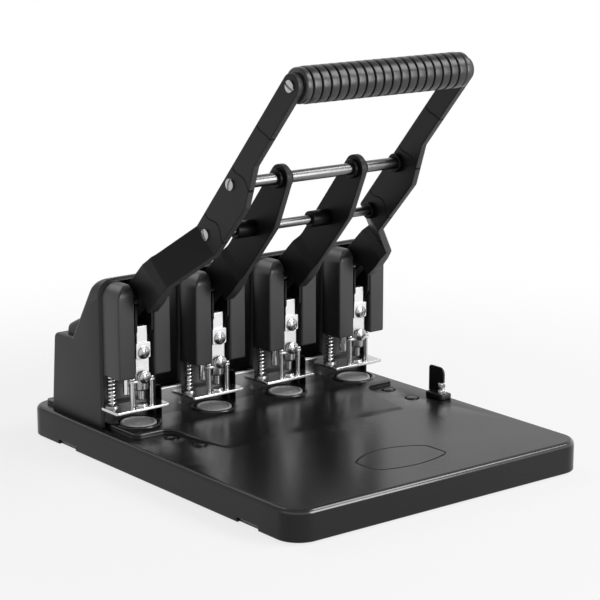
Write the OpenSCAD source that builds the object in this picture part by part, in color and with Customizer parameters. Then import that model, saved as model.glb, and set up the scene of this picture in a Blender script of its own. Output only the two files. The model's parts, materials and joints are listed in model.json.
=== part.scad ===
// Heavy-duty four-hole paper punch.
// X runs along the row of punches, Y towards the back, Z up from the table.
// One press lever turns on four pivot pins and drives four punches through the paper.

/* [Base] */
// Width of the base
base_w = 312; // [300:1:340]
// Depth of the base
base_d = 388; // [370:1:430]
// Height of the base top above the table
base_h = 28; // [24:0.5:36]
// Plan radius of the base corners
base_corner_r = 21; // [15:1:30]
// Rounding of the base top edge
base_edge_r = 4; // [2:0.5:6]
// Side wall of the base shell
base_wall = 3; // [2:0.5:5]
// Top wall of the base shell
base_top_t = 4; // [3:0.5:6]
// Bottom plate thickness
bottom_t = 2; // [1.5:0.5:3]
// Height of the rubber feet below the shell
foot_h = 1.5; // [1:0.5:3]
// Diameter of a rubber foot
foot_d = 22; // [16:1:30]
// Distance of a rubber foot from the sides of the base
foot_inset = 48; // [30:1:60]
// Length of a cut-out in the side skirt
notch_l = 28; // [16:1:36]
// Height of a cut-out in the side skirt
notch_h = 5; // [3:0.5:7]
// Middle of a cut-out behind the front of the base
notch_front = 59; // [40:1:80]
// Middle of a cut-out ahead of the back of the base
notch_back = 65; // [40:1:80]

/* [Platform] */
// Rise of the platform above the base top
platform_h = 4; // [2.5:0.5:6]
// Width of the platform beside the heads
platform_w = 286; // [276:1:294]
// Width of the platform ahead of its side steps
platform_neck_w = 216; // [190:1:240]
// Width of the platform at its front tips
platform_front_w = 192; // [160:1:220]
// Side step ahead of the punch axis
step_reach = 26; // [20:1:34]
// Foot of the front ramp ahead of the punch axis
platform_reach = 95; // [80:1:120]
// Depth of the front ramp in the middle
ramp_l = 13.5; // [8:0.5:20]
// Rise of the platform at its front tips
platform_tip_h = 0.8; // [0.4:0.1:2]

/* [Punch row] */
// Distance between neighbouring holes
hole_pitch = 80; // [78:0.5:82]
// Punch axis behind the middle of the base
row_y = 65; // [55:1:75]
// Outer diameter of a hollow punch
punch_d = 6; // [5:0.1:6.5]
// Wall of a hollow punch
punch_wall = 0.8; // [0.5:0.1:1.2]
// Travel of the punches
stroke = 20; // [16:0.5:21]
// Paper edge behind the punch axis
paper_margin = 12; // [10:0.5:14]
// Diameter of a cutting disc
disc_d = 33; // [28:0.5:34]
// Gap round a cutting disc
disc_gap = 0.8; // [0.3:0.1:1]
// Thickness of a cutting disc
disc_t = 4; // [3:0.5:5]
// Disc centre behind the punch axis
disc_offset = 5; // [3:0.5:7]
// Width of the raised ring round a disc
ring_w = 3; // [2:0.1:3]
// Height of the raised ring above the platform
ring_h = 1; // [0.5:0.1:1.5]

/* [Heads] */
// Width of a head frame
head_w = 53; // [50:0.5:58]
// Width of the slot between the cheeks
slot_w = 20; // [19.5:0.1:21]
// Cheek front ahead of the punch axis
cheek_front = 7.5; // [7:0.5:10]
// Underside of the cheeks above the platform
cheek_lift = 43; // [41:0.5:48]
// Height of the cheeks
cheek_h = 81; // [78:0.5:86]
// Cheek top rounding
cheek_r = 9; // [5:0.5:11]
// Rear of a head cover behind the punch axis
cover_back = 100; // [96:1:106]
// Wall of a head cover
cover_t = 2; // [1.5:0.1:2.5]

/* [Lever] */
// Pivot behind the punch axis
pivot_back = 19; // [18:0.5:20]
// Pivot above the underside of the cheeks
pivot_lift = 56; // [54:0.5:58]
// Diameter of a pivot pin
pivot_d = 10; // [8:0.5:11]
// Lean of the lever from upright at rest
lean = 41.3; // [38:0.1:45]
// Thickness of the lever hub
hub_t = 10; // [8:0.5:12]
// Thickness of the lever arm
arm_t = 6; // [5:0.5:7]
// Inward joggle of the outer arms
joggle = 31; // [24:1:34]
// Pivot to grip axis along the arm
grip_reach = 282; // [270:1:300]
// Pivot to upper rod along the arm
upper_reach = 164; // [155:1:172]
// Pivot to lower rod along the arm
lower_reach = 105.5; // [103:0.5:112]
// Diameter of the upper rod
upper_rod_d = 10; // [8:0.5:11]
// Diameter of the lower rod
lower_rod_d = 8; // [6:0.5:9]
// Width of a rod collar
collar_l = 4; // [3:0.5:6]

/* [Grip] */
// Outer diameter of the grip
grip_d = 30; // [26:0.5:34]
// Diameter of the grip tube
grip_tube_d = 18; // [16:0.5:20]
// Number of ribs on the sleeve
rib_n = 18; // [12:1:20]
// Depth of a groove between ribs
groove_depth = 2; // [1:0.2:2.6]
// Length of a smooth end collar
cap_l = 6; // [4:0.5:9]

/* [Slides] */
// Width of the upper slide bar
bar_w = 10.6; // [10:0.2:12]
// Width of the slide body
slide_w = 13.6; // [13:0.1:14.4]
// Thickness of a slide
slide_t = 6; // [5:0.5:6]
// Diameter of a punch holder
holder_d = 12.4; // [11:0.2:13]
// Diameter of a drive pin
drive_pin_d = 6; // [5:0.2:6.4]
// Thickness of a yoke ear
ear_t = 2; // [1.6:0.1:2.2]

/* [Hold-down plates] */
// Width of a hold-down plate
plate_w = 54.5; // [52:0.5:55]
// Thickness of a hold-down plate
plate_t = 2.6; // [1.5:0.1:3]
// Plate underside above the disc at rest
throat_h = 11.5; // [11:0.1:12.5]
// Diameter of a plate post
post_d = 4; // [3.4:0.2:4.4]
// Diameter of a guide post
guide_post_d = 3; // [2.4:0.1:3]
// Wire diameter of a spring
wire_d = 1.6; // [1.2:0.05:1.6]
// Outer diameter of a spring
spring_d = 7.8; // [7.8:0.1:9]
// Number of spring curls
curl_n = 6; // [4:1:7]

/* [Side guide] */
// Distance of the stop face from the middle of the row
guide_x = 148.5; // [140:0.5:148.5]
// Height of the stop tab above the base top
tab_h = 27; // [18:1:32]
// Length of the stop tab
tab_l = 20; // [16:1:26]
// Thickness of the stop tab
tab_t = 2; // [1.5:0.5:3]

/* [Hidden] */
$fn = 48;
head_n = 4;
run_fit = 0.05;
part_gap = 0.3;
slide_gap = 0.4;
eps = 0.01;

// Heights
deck_z = base_h + platform_h;
disc_z = deck_z + ring_h;
cheek_z = deck_z + cheek_lift;
cheek_top = cheek_z + cheek_h;
pivot_z = cheek_z + pivot_lift;
plate_z = disc_z + throat_h;
plate_top = plate_z + plate_t;

// Head sections
cover_gap = part_gap;
cover_w = head_w + 2 * (cover_gap + cover_t);
seam_y = 20;
leg_y = 25.5;
frame_back = 35;
shoulder_r = 13;
guide_y = holder_d / 2 + slide_gap;
guide_top = pivot_z - 27;
slope_y = 33;
slope_z = pivot_z + 18.3;
slope_rise = 46;
slope_run = 29;

// Lever stations, along the arm and across it from the pivot
hub_end = 54;
bend_in = 63;
bend_out = 100;
hub_r = 12;
rear_line = 4;
front_line = -30;
upper_across = -6;
lower_across = -10.6;
grip_across = -7.4;
grip_end_r = 10.2;
rod_end_r = 12;
waist_at = 199;
waist_full_at = 164;
drive_r = 24;
drive_rise = stroke / 2;
drive_run = sqrt(drive_r * drive_r - drive_rise * drive_rise);
frame_half = head_x(head_n - 1) - joggle - arm_t / 2;

// Slide sections
tip_gap = 0.3;
tip_z = disc_z + tip_gap + stroke;
holder_z = plate_z + 17.5;
holder_h = 18;
cross_z = holder_z + 7.8;
cross_h = 2.2;
post_x = slide_w / 2 + 2.8;
post_y = -1.5;
post_head_d = 5.4;
post_head_h = 2;
cross_r = post_d / 2 + 0.9;
body_top = pivot_z - 26;
bar_top = pivot_z - 12;
clamp_w = slide_w + 1;
clamp_t = 2;
clamp_h = 14;
clamp_z = body_top - clamp_h - 0.2;
clamp_screw_z = clamp_z + 5.4;
holder_screw_z = holder_z + 12.6;
ear_gap = 0.4;
ear_in = slide_w / 2 + ear_gap;
ear_front = 7;
ear_top = pivot_z + drive_rise + drive_pin_d / 2 + 2.6;
yoke_drop = 15;
yoke_z = body_top - yoke_drop;
web_drop = 19;
web_top = pivot_z - web_drop;
pin_play = 0.4;

// Plate sections
plate_front = 5.8;
plate_left = plate_w / 2 + 1.25;
plate_back = seam_y - 0.5;
guide_post_x = -20;
guide_post_y = 15;
flange_d = 12.6;
flange_h = 1.5;
bush_d = 19;
guide_post_below = 1.5;
guide_post_in = 6;
sleeve_wall = 0.65;
sleeve_h = 11.5;
bush_neck_d = 10.4;
spring_z0 = plate_top + flange_h;
spring_z1 = cheek_z;

// Base sections
screw_r = 2;
screw_head_r = 4;
boss_r = 5.5;
head_screw_y = 30;
head_screw_x = (base_w / 2 - base_wall - head_x(head_n - 1)) / 2;
cavity_top = base_h - base_top_t;
guide_travel = 3;
guide_slot_l = 2 * (guide_travel + screw_r + part_gap);
guide_slot_w = 2 * (screw_r + part_gap);
guide_y_mid = -14;
guide_screw_in = -5.5;
guide_screw_ahead = 4;
foot_in = 9.5;
foot_out = 3.5;
foot_ahead = 8;
foot_short = 5.5;
foot_t = 5;

// X of a head's middle
function head_x(i) = (i - (head_n - 1) / 2) * hole_pitch;

// Points of an arc from angle a0 to a1 in n steps
function arc(cx, cy, r, a0, a1, n = 6) =
    [for (k = [0:n]) let (a = a0 + (a1 - a0) * k / n) [cx + r * cos(a), cy + r * sin(a)]];

// Places its children at a head, on the punch axis at table height
module at_head(i) {
    translate([head_x(i), row_y, 0]) children();
}

// Extrudes a Y-Z outline along X, centred
module side_extrude(w) {
    translate([-w / 2, 0, 0]) rotate([90, 0, 90]) linear_extrude(w) children();
}

// A cylinder along X, centred
module x_rod(d, l) {
    rotate([0, 90, 0]) cylinder(d = d, h = l, center = true);
}

// Places its children in lever axes: along the arm, across it to the rear, then sideways to -X
module lever_axes(x) {
    translate([x, row_y + pivot_back, pivot_z]) rotate([lean, 0, 0]) rotate([0, -90, 0]) children();
}

// Plan outline of a rounded rectangle
module rounded_rect(w, d, r) {
    square([w - 2 * r, d], center = true);
    square([w, d - 2 * r], center = true);
    for (sx = [-1, 1], sy = [-1, 1]) translate([sx * (w / 2 - r), sy * (d / 2 - r)]) circle(r);
}

// Slab whose top edge is rounded in three steps
module rounded_slab(w, d, z0, h, r, e) {
    steps = 3;
    translate([0, 0, z0]) linear_extrude(h - z0 - e) rounded_rect(w, d, r);
    for (k = [0:steps - 1]) {
        a = 90 * k / steps;
        b = 90 * (k + 1) / steps;
        hull() for (turn = [a, b]) {
            inset = e * (1 - cos(turn));
            translate([0, 0, h - e + e * sin(turn) - eps]) linear_extrude(eps)
                rounded_rect(w - 2 * inset, d - 2 * inset, r - inset, $fn = 32);
        }
    }
}

// Right-hand edge of the platform: straight beside the heads, then a step inwards with round corners
function platform_edge() =
    let (outer_r = 6, inner_r = 12, step_y = row_y - step_reach)
    concat(arc(platform_w / 2 - outer_r, step_y + outer_r, outer_r, 0, -90),
        arc(platform_neck_w / 2 + inner_r, step_y - inner_r, inner_r, 90, 180));

// Stations of the front ramp from right to left: X and the Y of its arched upper edge
ramp_steps = 12;
ramp_tip_l = 1.5;
ramp_y = row_y - platform_reach;
function ramp_stations() = [for (k = [0:ramp_steps]) let (t = 1 - 2 * k / ramp_steps)
    [t * platform_front_w / 2, ramp_y + ramp_tip_l + (ramp_l - ramp_tip_l) * (1 - t * t)]];

// Top of the platform: level under the heads, then falling to its front tips
platform_back = base_d / 2 - base_edge_r - 6;
level_y = row_y - 20;
function platform_z(y) = y > level_y ? deck_z
    : deck_z - (platform_h - platform_tip_h) * (level_y - y) / (level_y - ramp_y);

module platform_outline() {
    right = concat([[platform_w / 2, platform_back]], platform_edge());
    left = [for (k = [len(right) - 1:-1:0]) [-right[k][0], right[k][1]]];
    polygon(concat(right, ramp_stations(), left));
}

// Front ramp, from the arched edge of the platform down to a straight foot
module front_ramp() {
    stations = ramp_stations();
    n = len(stations);
    lap = 1;
    points = [for (s = stations) each [[s[0], s[1], platform_z(s[1])], [s[0], ramp_y, base_h],
        [s[0], ramp_y, base_h - lap], [s[0], s[1] + lap, base_h - lap]]];
    m = 4;
    walls = [for (k = [0:n - 2], j = [0:m - 1]) let (a = k * m + j, b = k * m + (j + 1) % m) each
        [[a, b, a + m], [b, b + m, a + m]]];
    caps = [for (j = [1:m - 2]) each [[0, j + 1, j], [(n - 1) * m, (n - 1) * m + j, (n - 1) * m + j + 1]]];
    polyhedron(points, concat(walls, caps));
}

// Bottom plate screw places
function bottom_screw_xy() =
    let (inset = base_wall + 22)
    [for (x = [-1, 0, 1], y = [-1, 1]) [x * (base_w / 2 - inset), y * (base_d / 2 - inset)]];

module base_shell() {
    color([0.06, 0.06, 0.065]) difference() {
        union() {
            difference() {
                rounded_slab(base_w, base_d, foot_h, base_h, base_corner_r, base_edge_r);
                translate([0, 0, -1]) linear_extrude(cavity_top + 1)
                    rounded_rect(base_w - 2 * base_wall, base_d - 2 * base_wall, base_corner_r - base_wall);
            }
            intersection() {
                translate([0, 0, base_h - 1]) linear_extrude(platform_h + 2) platform_outline();
                side_extrude(base_w) polygon([[ramp_y, cavity_top], [ramp_y, platform_z(ramp_y)],
                    [level_y, deck_z], [base_d / 2, deck_z], [base_d / 2, cavity_top]]);
            }
            front_ramp();
            for (i = [0:head_n - 1]) at_head(i) translate([0, disc_offset, base_h])
                cylinder(d = disc_d + 2 * disc_gap + 2 * ring_w, h = platform_h + ring_h);
            for (p = bottom_screw_xy()) translate([p[0], p[1], foot_h + bottom_t])
                cylinder(r = boss_r, h = cavity_top - foot_h - bottom_t + 1);
        }
        for (i = [0:head_n - 1]) at_head(i) {
            translate([0, disc_offset, disc_z - disc_t]) cylinder(d = disc_d + 2 * disc_gap, h = disc_t + 1);
            for (s = [-1, 1]) translate([s * head_screw_x, head_screw_y, 0])
                cylinder(r = screw_r + run_fit, h = deck_z + 1);
        }
        for (p = bottom_screw_xy()) translate([p[0], p[1], 0]) cylinder(r = screw_r + run_fit, h = 14);
        for (s = [-1, 1], y = [notch_front - base_d / 2, base_d / 2 - notch_back])
            translate([s * base_w / 2, y, foot_h])
                cube([4 * base_wall, notch_l, 2 * notch_h - 2 * foot_h], center = true);
        translate([guide_x + guide_screw_in, guide_y_mid - tab_l / 2 - guide_screw_ahead, base_h])
            cube([guide_slot_l, guide_slot_w, 4 * base_top_t], center = true);
    }
}

module bottom_plate() {
    color([0.16, 0.16, 0.17]) difference() {
        translate([0, 0, foot_h]) linear_extrude(bottom_t)
            rounded_rect(base_w - 2 * base_wall - 2 * part_gap, base_d - 2 * base_wall - 2 * part_gap,
                base_corner_r - base_wall - part_gap);
        for (p = bottom_screw_xy()) translate([p[0], p[1], 0])
            cylinder(r = screw_r + run_fit, h = 3 * bottom_t);
    }
}

module rubber_feet() {
    color([0.09, 0.09, 0.09]) for (sx = [-1, 1], sy = [-1, 1])
        translate([sx * (base_w / 2 - foot_inset), sy * (base_d / 2 - foot_inset), 0])
            cylinder(d = foot_d, h = foot_h);
}

module bottom_screws() {
    head_h = 1.1;
    color([0.6, 0.6, 0.6]) for (p = bottom_screw_xy()) translate([p[0], p[1], foot_h]) {
        translate([0, 0, -head_h]) cylinder(r = screw_head_r, h = head_h);
        cylinder(r = screw_r, h = 10);
    }
}

module head_screws() {
    head_h = 3;
    color([0.55, 0.55, 0.56]) for (i = [0:head_n - 1], s = [-1, 1]) at_head(i)
        translate([s * head_screw_x, head_screw_y, cavity_top]) {
            translate([0, 0, -head_h]) cylinder(r = screw_head_r, h = head_h);
            cylinder(r = screw_r, h = deck_z - cavity_top + 10);
        }
}

module cutting_discs() {
    color([0.2, 0.2, 0.2]) for (i = [0:head_n - 1]) at_head(i) translate([0, disc_offset, disc_z - disc_t])
        difference() {
            cylinder(d = disc_d, h = disc_t);
            translate([0, 0, disc_t - 0.6]) cylinder(d = 2.4, h = 1);
        }
}

module back_stops() {
    stop_h = 26;
    stop_t = 9;
    stop_r = 4;
    l = hole_pitch - cover_w - 2 * part_gap;
    color([0.75, 0.75, 0.77]) for (i = [0:head_n - 2])
        translate([(head_x(i) + head_x(i + 1)) / 2, row_y + paper_margin, deck_z]) side_extrude(l)
            polygon(concat([[0, 0]], arc(stop_r, stop_h - stop_r, stop_r, 180, 90),
                arc(stop_t - stop_r, stop_h - stop_r, stop_r, 90, 0), [[stop_t, 0]]));
}

module frame_outline() {
    polygon(concat(
        [[-cheek_front, cheek_z]],
        arc(-cheek_front + cheek_r, cheek_top - cheek_r, cheek_r, 180, 90),
        [[seam_y - 0.4, cheek_top], [seam_y - 0.4, cheek_top - 1.6], [seam_y + 6, cheek_top - 3.4],
            [frame_back, slope_z - 9],
            [frame_back, deck_z], [leg_y, deck_z], [leg_y, cheek_z]]));
}

module frame_plan() {
    r = 1.6;
    translate([-head_w / 2, -cheek_front + r]) square([head_w, frame_back + cheek_front - r]);
    translate([-head_w / 2 + r, -cheek_front]) square([head_w - 2 * r, 2 * r]);
    for (s = [-1, 1]) translate([s * (head_w / 2 - r), -cheek_front + r]) circle(r);
}

// Block along Y with round shoulders, which gives a head its upper outline seen from the front
module shoulder_block(w, top, r) {
    reach = 10;
    translate([0, cover_back + 1, 0]) rotate([90, 0, 0]) linear_extrude(cover_back + cheek_front + reach) {
        translate([-w / 2, 0]) square([w, top - r]);
        translate([-w / 2 + r, 0]) square([w - 2 * r, top]);
        for (s = [-1, 1]) translate([s * (w / 2 - r), top - r]) circle(r);
    }
}

module head_frame(i) {
    color([0.1, 0.1, 0.105]) at_head(i) difference() {
        intersection() {
            side_extrude(head_w) frame_outline();
            linear_extrude(cheek_top + 1) frame_plan();
            shoulder_block(head_w, cheek_top, shoulder_r);
        }
        translate([-slot_w / 2, -cheek_front - 1, guide_top])
            cube([slot_w, cheek_front + 1 + frame_back - 3, cheek_h]);
        translate([-slot_w / 2, -cheek_front - 1, cheek_z - 1])
            cube([slot_w, cheek_front + 1 + guide_y, guide_top - cheek_z + 2]);
        translate([0, pivot_back, pivot_z]) x_rod(pivot_d + 2 * run_fit, head_w - 6);
        for (s = [-1, 1]) translate([s * head_screw_x, head_screw_y, deck_z - 1])
            cylinder(r = screw_r + run_fit, h = 12);
        translate([guide_post_x, guide_post_y, cheek_z - 1])
            cylinder(d = guide_post_d + 2 * run_fit, h = guide_post_in + 1);
        translate([-slot_w / 2 + 2.2, guide_y + 4, cheek_z - 1])
            cylinder(d = stop_pin_d() + 2 * run_fit, h = 7);
        translate([cover_screw_x(), cover_screw_y(), cover_seat_z() - 19])
            cylinder(r = cover_screw_r() + run_fit, h = 30);
    }
}

function cover_screw_r() = 1.5;
function stop_pin_d() = 6;
function cover_screw_x() = -slot_w / 2 - 3.2;
function cover_screw_y() = seam_y + 3.2;
function cover_top_z() = cheek_top + cover_gap + cover_t;
function cover_screw_head_r() = 2.4;
function cover_seat_z() = cover_top_z() - 1.2;

module cover_outline() {
    crown_r = 10;
    crown_z = cover_top_z() - crown_r;
    slope_turn = atan(slope_run / slope_rise);
    crown_y = slope_y - (crown_r + (crown_z - slope_z) * sin(slope_turn)) / cos(slope_turn);
    foot_y = slope_y + slope_run;
    foot_z = slope_z - slope_rise;
    polygon(concat(
        [[seam_y, deck_z], [seam_y, cover_top_z()]],
        arc(crown_y, crown_z, crown_r, 90, slope_turn, 5),
        [[foot_y, foot_z], [foot_y + 5, foot_z - 3], [cover_back - 8, foot_z - 4],
            [cover_back - 6, foot_z - 7], [cover_back, deck_z]]));
}

module hump_outline() {
    foot_y = slope_y + slope_run;
    foot_z = slope_z - slope_rise;
    polygon(concat([[foot_y - 14, foot_z - 6]], [[foot_y - 12, foot_z + 14.5], [foot_y + 3, foot_z + 9.5]],
        arc(foot_y + 11, foot_z - 0.5, 8, 70, 0, 4), [[foot_y + 20, foot_z - 6]]));
}

module head_cover(i) {
    hump_inset = 6;
    inner_w = cover_w - 2 * cover_t;
    inner_r = shoulder_r + cover_gap;
    color([0.09, 0.09, 0.095]) at_head(i) difference() {
        union() {
            intersection() {
                side_extrude(cover_w) cover_outline();
                shoulder_block(cover_w, cover_top_z(), inner_r + cover_t);
            }
            side_extrude(cover_w - 2 * hump_inset) hump_outline();
        }
        intersection() {
            side_extrude(inner_w) {
                offset(delta = -cover_t) cover_outline();
                translate([-2 * cover_t, 0]) offset(delta = -cover_t) cover_outline();
                translate([0, -2 * cover_t]) offset(delta = -cover_t) cover_outline();
                translate([-2 * cover_t, -2 * cover_t]) offset(delta = -cover_t) cover_outline();
            }
            shoulder_block(inner_w, cover_top_z() - cover_t, inner_r);
        }
        translate([cover_screw_x(), cover_screw_y(), cover_seat_z()]) {
            cylinder(r = cover_screw_head_r() + 0.2, h = 10);
            translate([0, 0, -10]) cylinder(r = cover_screw_r() + run_fit, h = 20);
        }
    }
}

module cover_screws() {
    color([0.6, 0.6, 0.6]) for (i = [0:head_n - 1]) at_head(i)
        translate([cover_screw_x(), cover_screw_y(), cover_seat_z()]) {
            cylinder(r = cover_screw_head_r(), h = 1.8);
            translate([0, 0, -18]) cylinder(r = cover_screw_r(), h = 18);
        }
}

module pivot_pins() {
    color([0.5, 0.5, 0.52]) for (i = [0:head_n - 1]) at_head(i)
        translate([0, pivot_back, pivot_z]) x_rod(pivot_d, head_w - 6);
}

module guide_posts() {
    color([0.8, 0.8, 0.8]) for (i = [0:head_n - 1]) at_head(i)
        translate([guide_post_x, guide_post_y, plate_z - guide_post_below])
            cylinder(d = guide_post_d, h = cheek_z + guide_post_in + guide_post_below - plate_z);
}

module stop_pins() {
    drop = 19;
    color([0.8, 0.8, 0.8]) for (i = [0:head_n - 1]) at_head(i)
        translate([-slot_w / 2 + 2.2, guide_y + 4, cheek_z - drop]) {
            cylinder(d1 = stop_pin_d() - 2, d2 = stop_pin_d(), h = 1);
            translate([0, 0, 1]) cylinder(d = stop_pin_d(), h = drop + 5);
        }
}

module side_guide() {
    tab_r = 6;
    color([0.07, 0.07, 0.07]) translate([guide_x, guide_y_mid, base_h]) difference() {
        union() {
            translate([tab_t / 2, 0, 0]) side_extrude(tab_t)
                polygon(concat(
                    [[-tab_l / 2, 0], [tab_l / 2, 0], [tab_l / 2, tab_h - 2], [tab_l / 2 - 2, tab_h]],
                    arc(-tab_l / 2 + tab_r, tab_h - tab_r, tab_r, 90, 180)));
            translate([-foot_in, -tab_l / 2 - foot_ahead, 0])
                cube([foot_in + foot_out, tab_l + foot_ahead - foot_short, foot_t]);
        }
        translate([guide_screw_in, -tab_l / 2 - guide_screw_ahead, -1])
            cylinder(r = screw_r + run_fit, h = foot_t + 2);
    }
}

module guide_screw() {
    knob_r = 3.2;
    knob_h = 10.5;
    rim_h = 3.8;
    nut_t = 2.4;
    color([0.75, 0.75, 0.75])
        translate([guide_x + guide_screw_in, guide_y_mid - tab_l / 2 - guide_screw_ahead, base_h]) {
            translate([0, 0, foot_t]) {
                cylinder(r = knob_r - 1, h = knob_h);
                for (z = [0, knob_h - rim_h]) translate([0, 0, z]) cylinder(r = knob_r, h = rim_h);
            }
            translate([0, 0, -base_top_t - nut_t]) cylinder(r = screw_r, h = foot_t + base_top_t + nut_t + 1);
            translate([0, 0, -base_top_t - nut_t]) cylinder(r = 4, h = nut_t, $fn = 6);
        }
}

// Hub from the front edge of the arm to its toe, back to the pivot and round it to the rear edge
toe_at = 29;
function hub_edge() = concat(
    [[toe_at + 13, front_line + 0.5], [toe_at - 2, front_line + 2.5],
        [toe_at, -hub_r - 4], [toe_at - 6, -hub_r - 3]],
    arc(0, 0, hub_r, 270, 90, 12),
    [[toe_at - 1, hub_r - 4], [hub_end, rear_line + 1.5], [bend_in + 3, rear_line - 1]]);

// Side outline of an outer arm, from the hub to the grip
module outer_arm_outline() {
    polygon(concat(hub_edge(), arc(grip_reach, grip_across, grip_end_r, 90, -90, 12),
        [[waist_at, grip_across - grip_end_r], [waist_full_at, front_line - 2], [bend_out, front_line]]));
}

// Side outline of an inner arm, from the hub to the upper rod
module inner_arm_outline() {
    polygon(concat(hub_edge(), arc(upper_reach, upper_across, rod_end_r, 90, -70, 12),
        [[lower_reach + 22, front_line]]));
}

// Outline of an arm seen from the rear: thick hub, chamfer, then the joggled plate
module arm_plan(shift) {
    slant = atan(abs(shift) / (bend_out - bend_in));
    mitre = sign(shift) * arm_t / 2 * tan(slant / 2);
    far = grip_reach + 2 * grip_end_r;
    h = hub_t / 2;
    a = arm_t / 2;
    polygon([[-2 * hub_r, -h], [hub_end, -h], [bend_in + mitre, -a], [bend_out + mitre, shift - a],
        [far, shift - a], [far, shift + a], [bend_out - mitre, shift + a], [bend_in - mitre, a],
        [hub_end, h], [-2 * hub_r, h]]);
}

// Sideways shift of an arm above its bend: the outer arms lean inwards
function arm_shift(i) = i == 0 ? -joggle : i == head_n - 1 ? joggle : 0;
function is_outer(i) = i == 0 || i == head_n - 1;
function arm_x(i) = head_x(i) - arm_shift(i);

module lever(i) {
    wide = 2 * (joggle + hub_t);
    deep = 200;
    color([0.085, 0.085, 0.09]) lever_axes(head_x(i)) difference() {
        intersection() {
            translate([0, 0, -wide / 2]) linear_extrude(wide) {
                if (is_outer(i)) outer_arm_outline();
                else inner_arm_outline();
            }
            translate([0, deep / 2, 0]) rotate([90, 0, 0]) linear_extrude(deep) arm_plan(arm_shift(i));
        }
        cylinder(d = pivot_d + 2 * run_fit, h = 2 * hub_t, center = true);
        translate(drive_place()) cylinder(d = drive_pin_d + 2 * run_fit, h = 2 * hub_t, center = true);
        for (rod = [[upper_reach, upper_across, upper_rod_d], [lower_reach, lower_across, lower_rod_d]])
            translate([rod[0], rod[1], arm_shift(i)])
                cylinder(d = (is_outer(i) ? 2 * screw_r : rod[2]) + 2 * run_fit, h = 3 * arm_t, center = true);
        if (is_outer(i)) translate([grip_reach, grip_across, arm_shift(i)])
            cylinder(r = screw_r + run_fit, h = 3 * arm_t, center = true);
    }
}

// Drive pin in lever axes: ahead of the pivot and half a stroke above it
function drive_place() =
    [drive_run * sin(lean) + drive_rise * cos(lean), -drive_run * cos(lean) + drive_rise * sin(lean), 0];

module drive_pins() {
    l = 2 * (ear_in + ear_t);
    color([0.6, 0.6, 0.62]) for (i = [0:head_n - 1])
        lever_axes(head_x(i)) translate(drive_place()) cylinder(d = drive_pin_d, h = l, center = true);
}

module upper_rod() {
    color([0.3, 0.3, 0.31]) lever_axes(0) translate([upper_reach, upper_across, 0])
        rod_with_tapped_ends(upper_rod_d);
}

module lower_rod() {
    color([0.3, 0.3, 0.31]) lever_axes(0) translate([lower_reach, lower_across, 0])
        rod_with_tapped_ends(lower_rod_d);
}

// Cross rod between the outer arms, tapped at both ends
module rod_with_tapped_ends(d) {
    tap = 12;
    difference() {
        cylinder(d = d, h = 2 * frame_half, center = true);
        for (s = [-1, 1]) translate([0, 0, s * frame_half])
            cylinder(r = screw_r + run_fit, h = 2 * tap, center = true);
    }
}

module rod_collars() {
    sleeve_l = 20;
    color([0.06, 0.06, 0.06]) lever_axes(0) {
        translate([upper_reach, upper_across, 0]) collar_row(upper_rod_d, collar_l);
        translate([lower_reach, lower_across, 0]) collar_row(lower_rod_d, sleeve_l);
    }
}

// Rings on a rod at the faces of the arms, with a length of their own on the left of the inner arms
module collar_row(d, left_l) {
    for (s = [-1, 1]) translate([0, 0, s * (frame_half - collar_l / 2)]) collar(d, collar_l);
    for (i = [1:head_n - 2]) translate([0, 0, -head_x(i)]) {
        translate([0, 0, -(arm_t + collar_l) / 2]) collar(d, collar_l);
        translate([0, 0, (arm_t + left_l) / 2]) collar(d, left_l);
    }
}

// Ring on a rod
module collar(d, l) {
    wall = 3.2;
    difference() {
        cylinder(d = d + 2 * wall, h = l, center = true);
        cylinder(d = d + 2 * run_fit, h = 2 * l, center = true);
    }
}

module arm_screws() {
    head_h = 2.4;
    tap = 11;
    places = [[upper_reach, upper_across], [lower_reach, lower_across], [grip_reach, grip_across]];
    color([0.75, 0.75, 0.75]) lever_axes(0) for (p = places, s = [-1, 1])
        translate([p[0], p[1], s * (frame_half + arm_t)]) rotate([s > 0 ? 0 : 180, 0, 0]) difference() {
            union() {
                cylinder(r1 = 4.8, r2 = 4.1, h = head_h);
                translate([0, 0, -arm_t - tap]) cylinder(r = screw_r, h = arm_t + tap + eps);
            }
            translate([0, 0, head_h]) cube([12, 1.2, 2], center = true);
        }
}

module grip_tube() {
    color([0.4, 0.4, 0.4]) lever_axes(0) translate([grip_reach, grip_across, 0])
        difference() {
            cylinder(d = grip_tube_d, h = 2 * frame_half, center = true);
            for (s = [-1, 1]) translate([0, 0, s * frame_half])
                cylinder(r = screw_r + run_fit, h = 30, center = true);
        }
}

// Ribbed sleeve: rings of full diameter with narrow grooves between them
module grip_sleeve() {
    l = 2 * (frame_half - cap_l);
    pitch = l / rib_n;
    groove = pitch * 0.3;
    r = grip_d / 2;
    inner = grip_tube_d / 2 + run_fit;
    edge = [for (k = [0:rib_n - 1]) let (z = -l / 2 + k * pitch) each
        [[r - groove_depth, z], [r - groove_depth, z + groove / 2], [r - 0.5, z + groove / 2 + 0.4],
            [r, z + pitch / 2], [r - 0.5, z + pitch - groove / 2 - 0.4],
            [r - groove_depth, z + pitch - groove / 2]]];
    color([0.04, 0.04, 0.04]) lever_axes(0) translate([grip_reach, grip_across, 0]) rotate_extrude()
        polygon(concat([[inner, -l / 2]], edge, [[r - groove_depth, l / 2], [inner, l / 2]]));
}

module grip_caps() {
    color([0.05, 0.05, 0.05]) lever_axes(0) for (s = [-1, 1])
        translate([grip_reach, grip_across, s * (frame_half - cap_l / 2)]) difference() {
            cylinder(d = grip_d - 1, h = cap_l, center = true);
            cylinder(d = grip_tube_d + 2 * run_fit, h = 2 * cap_l, center = true);
        }
}

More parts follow.
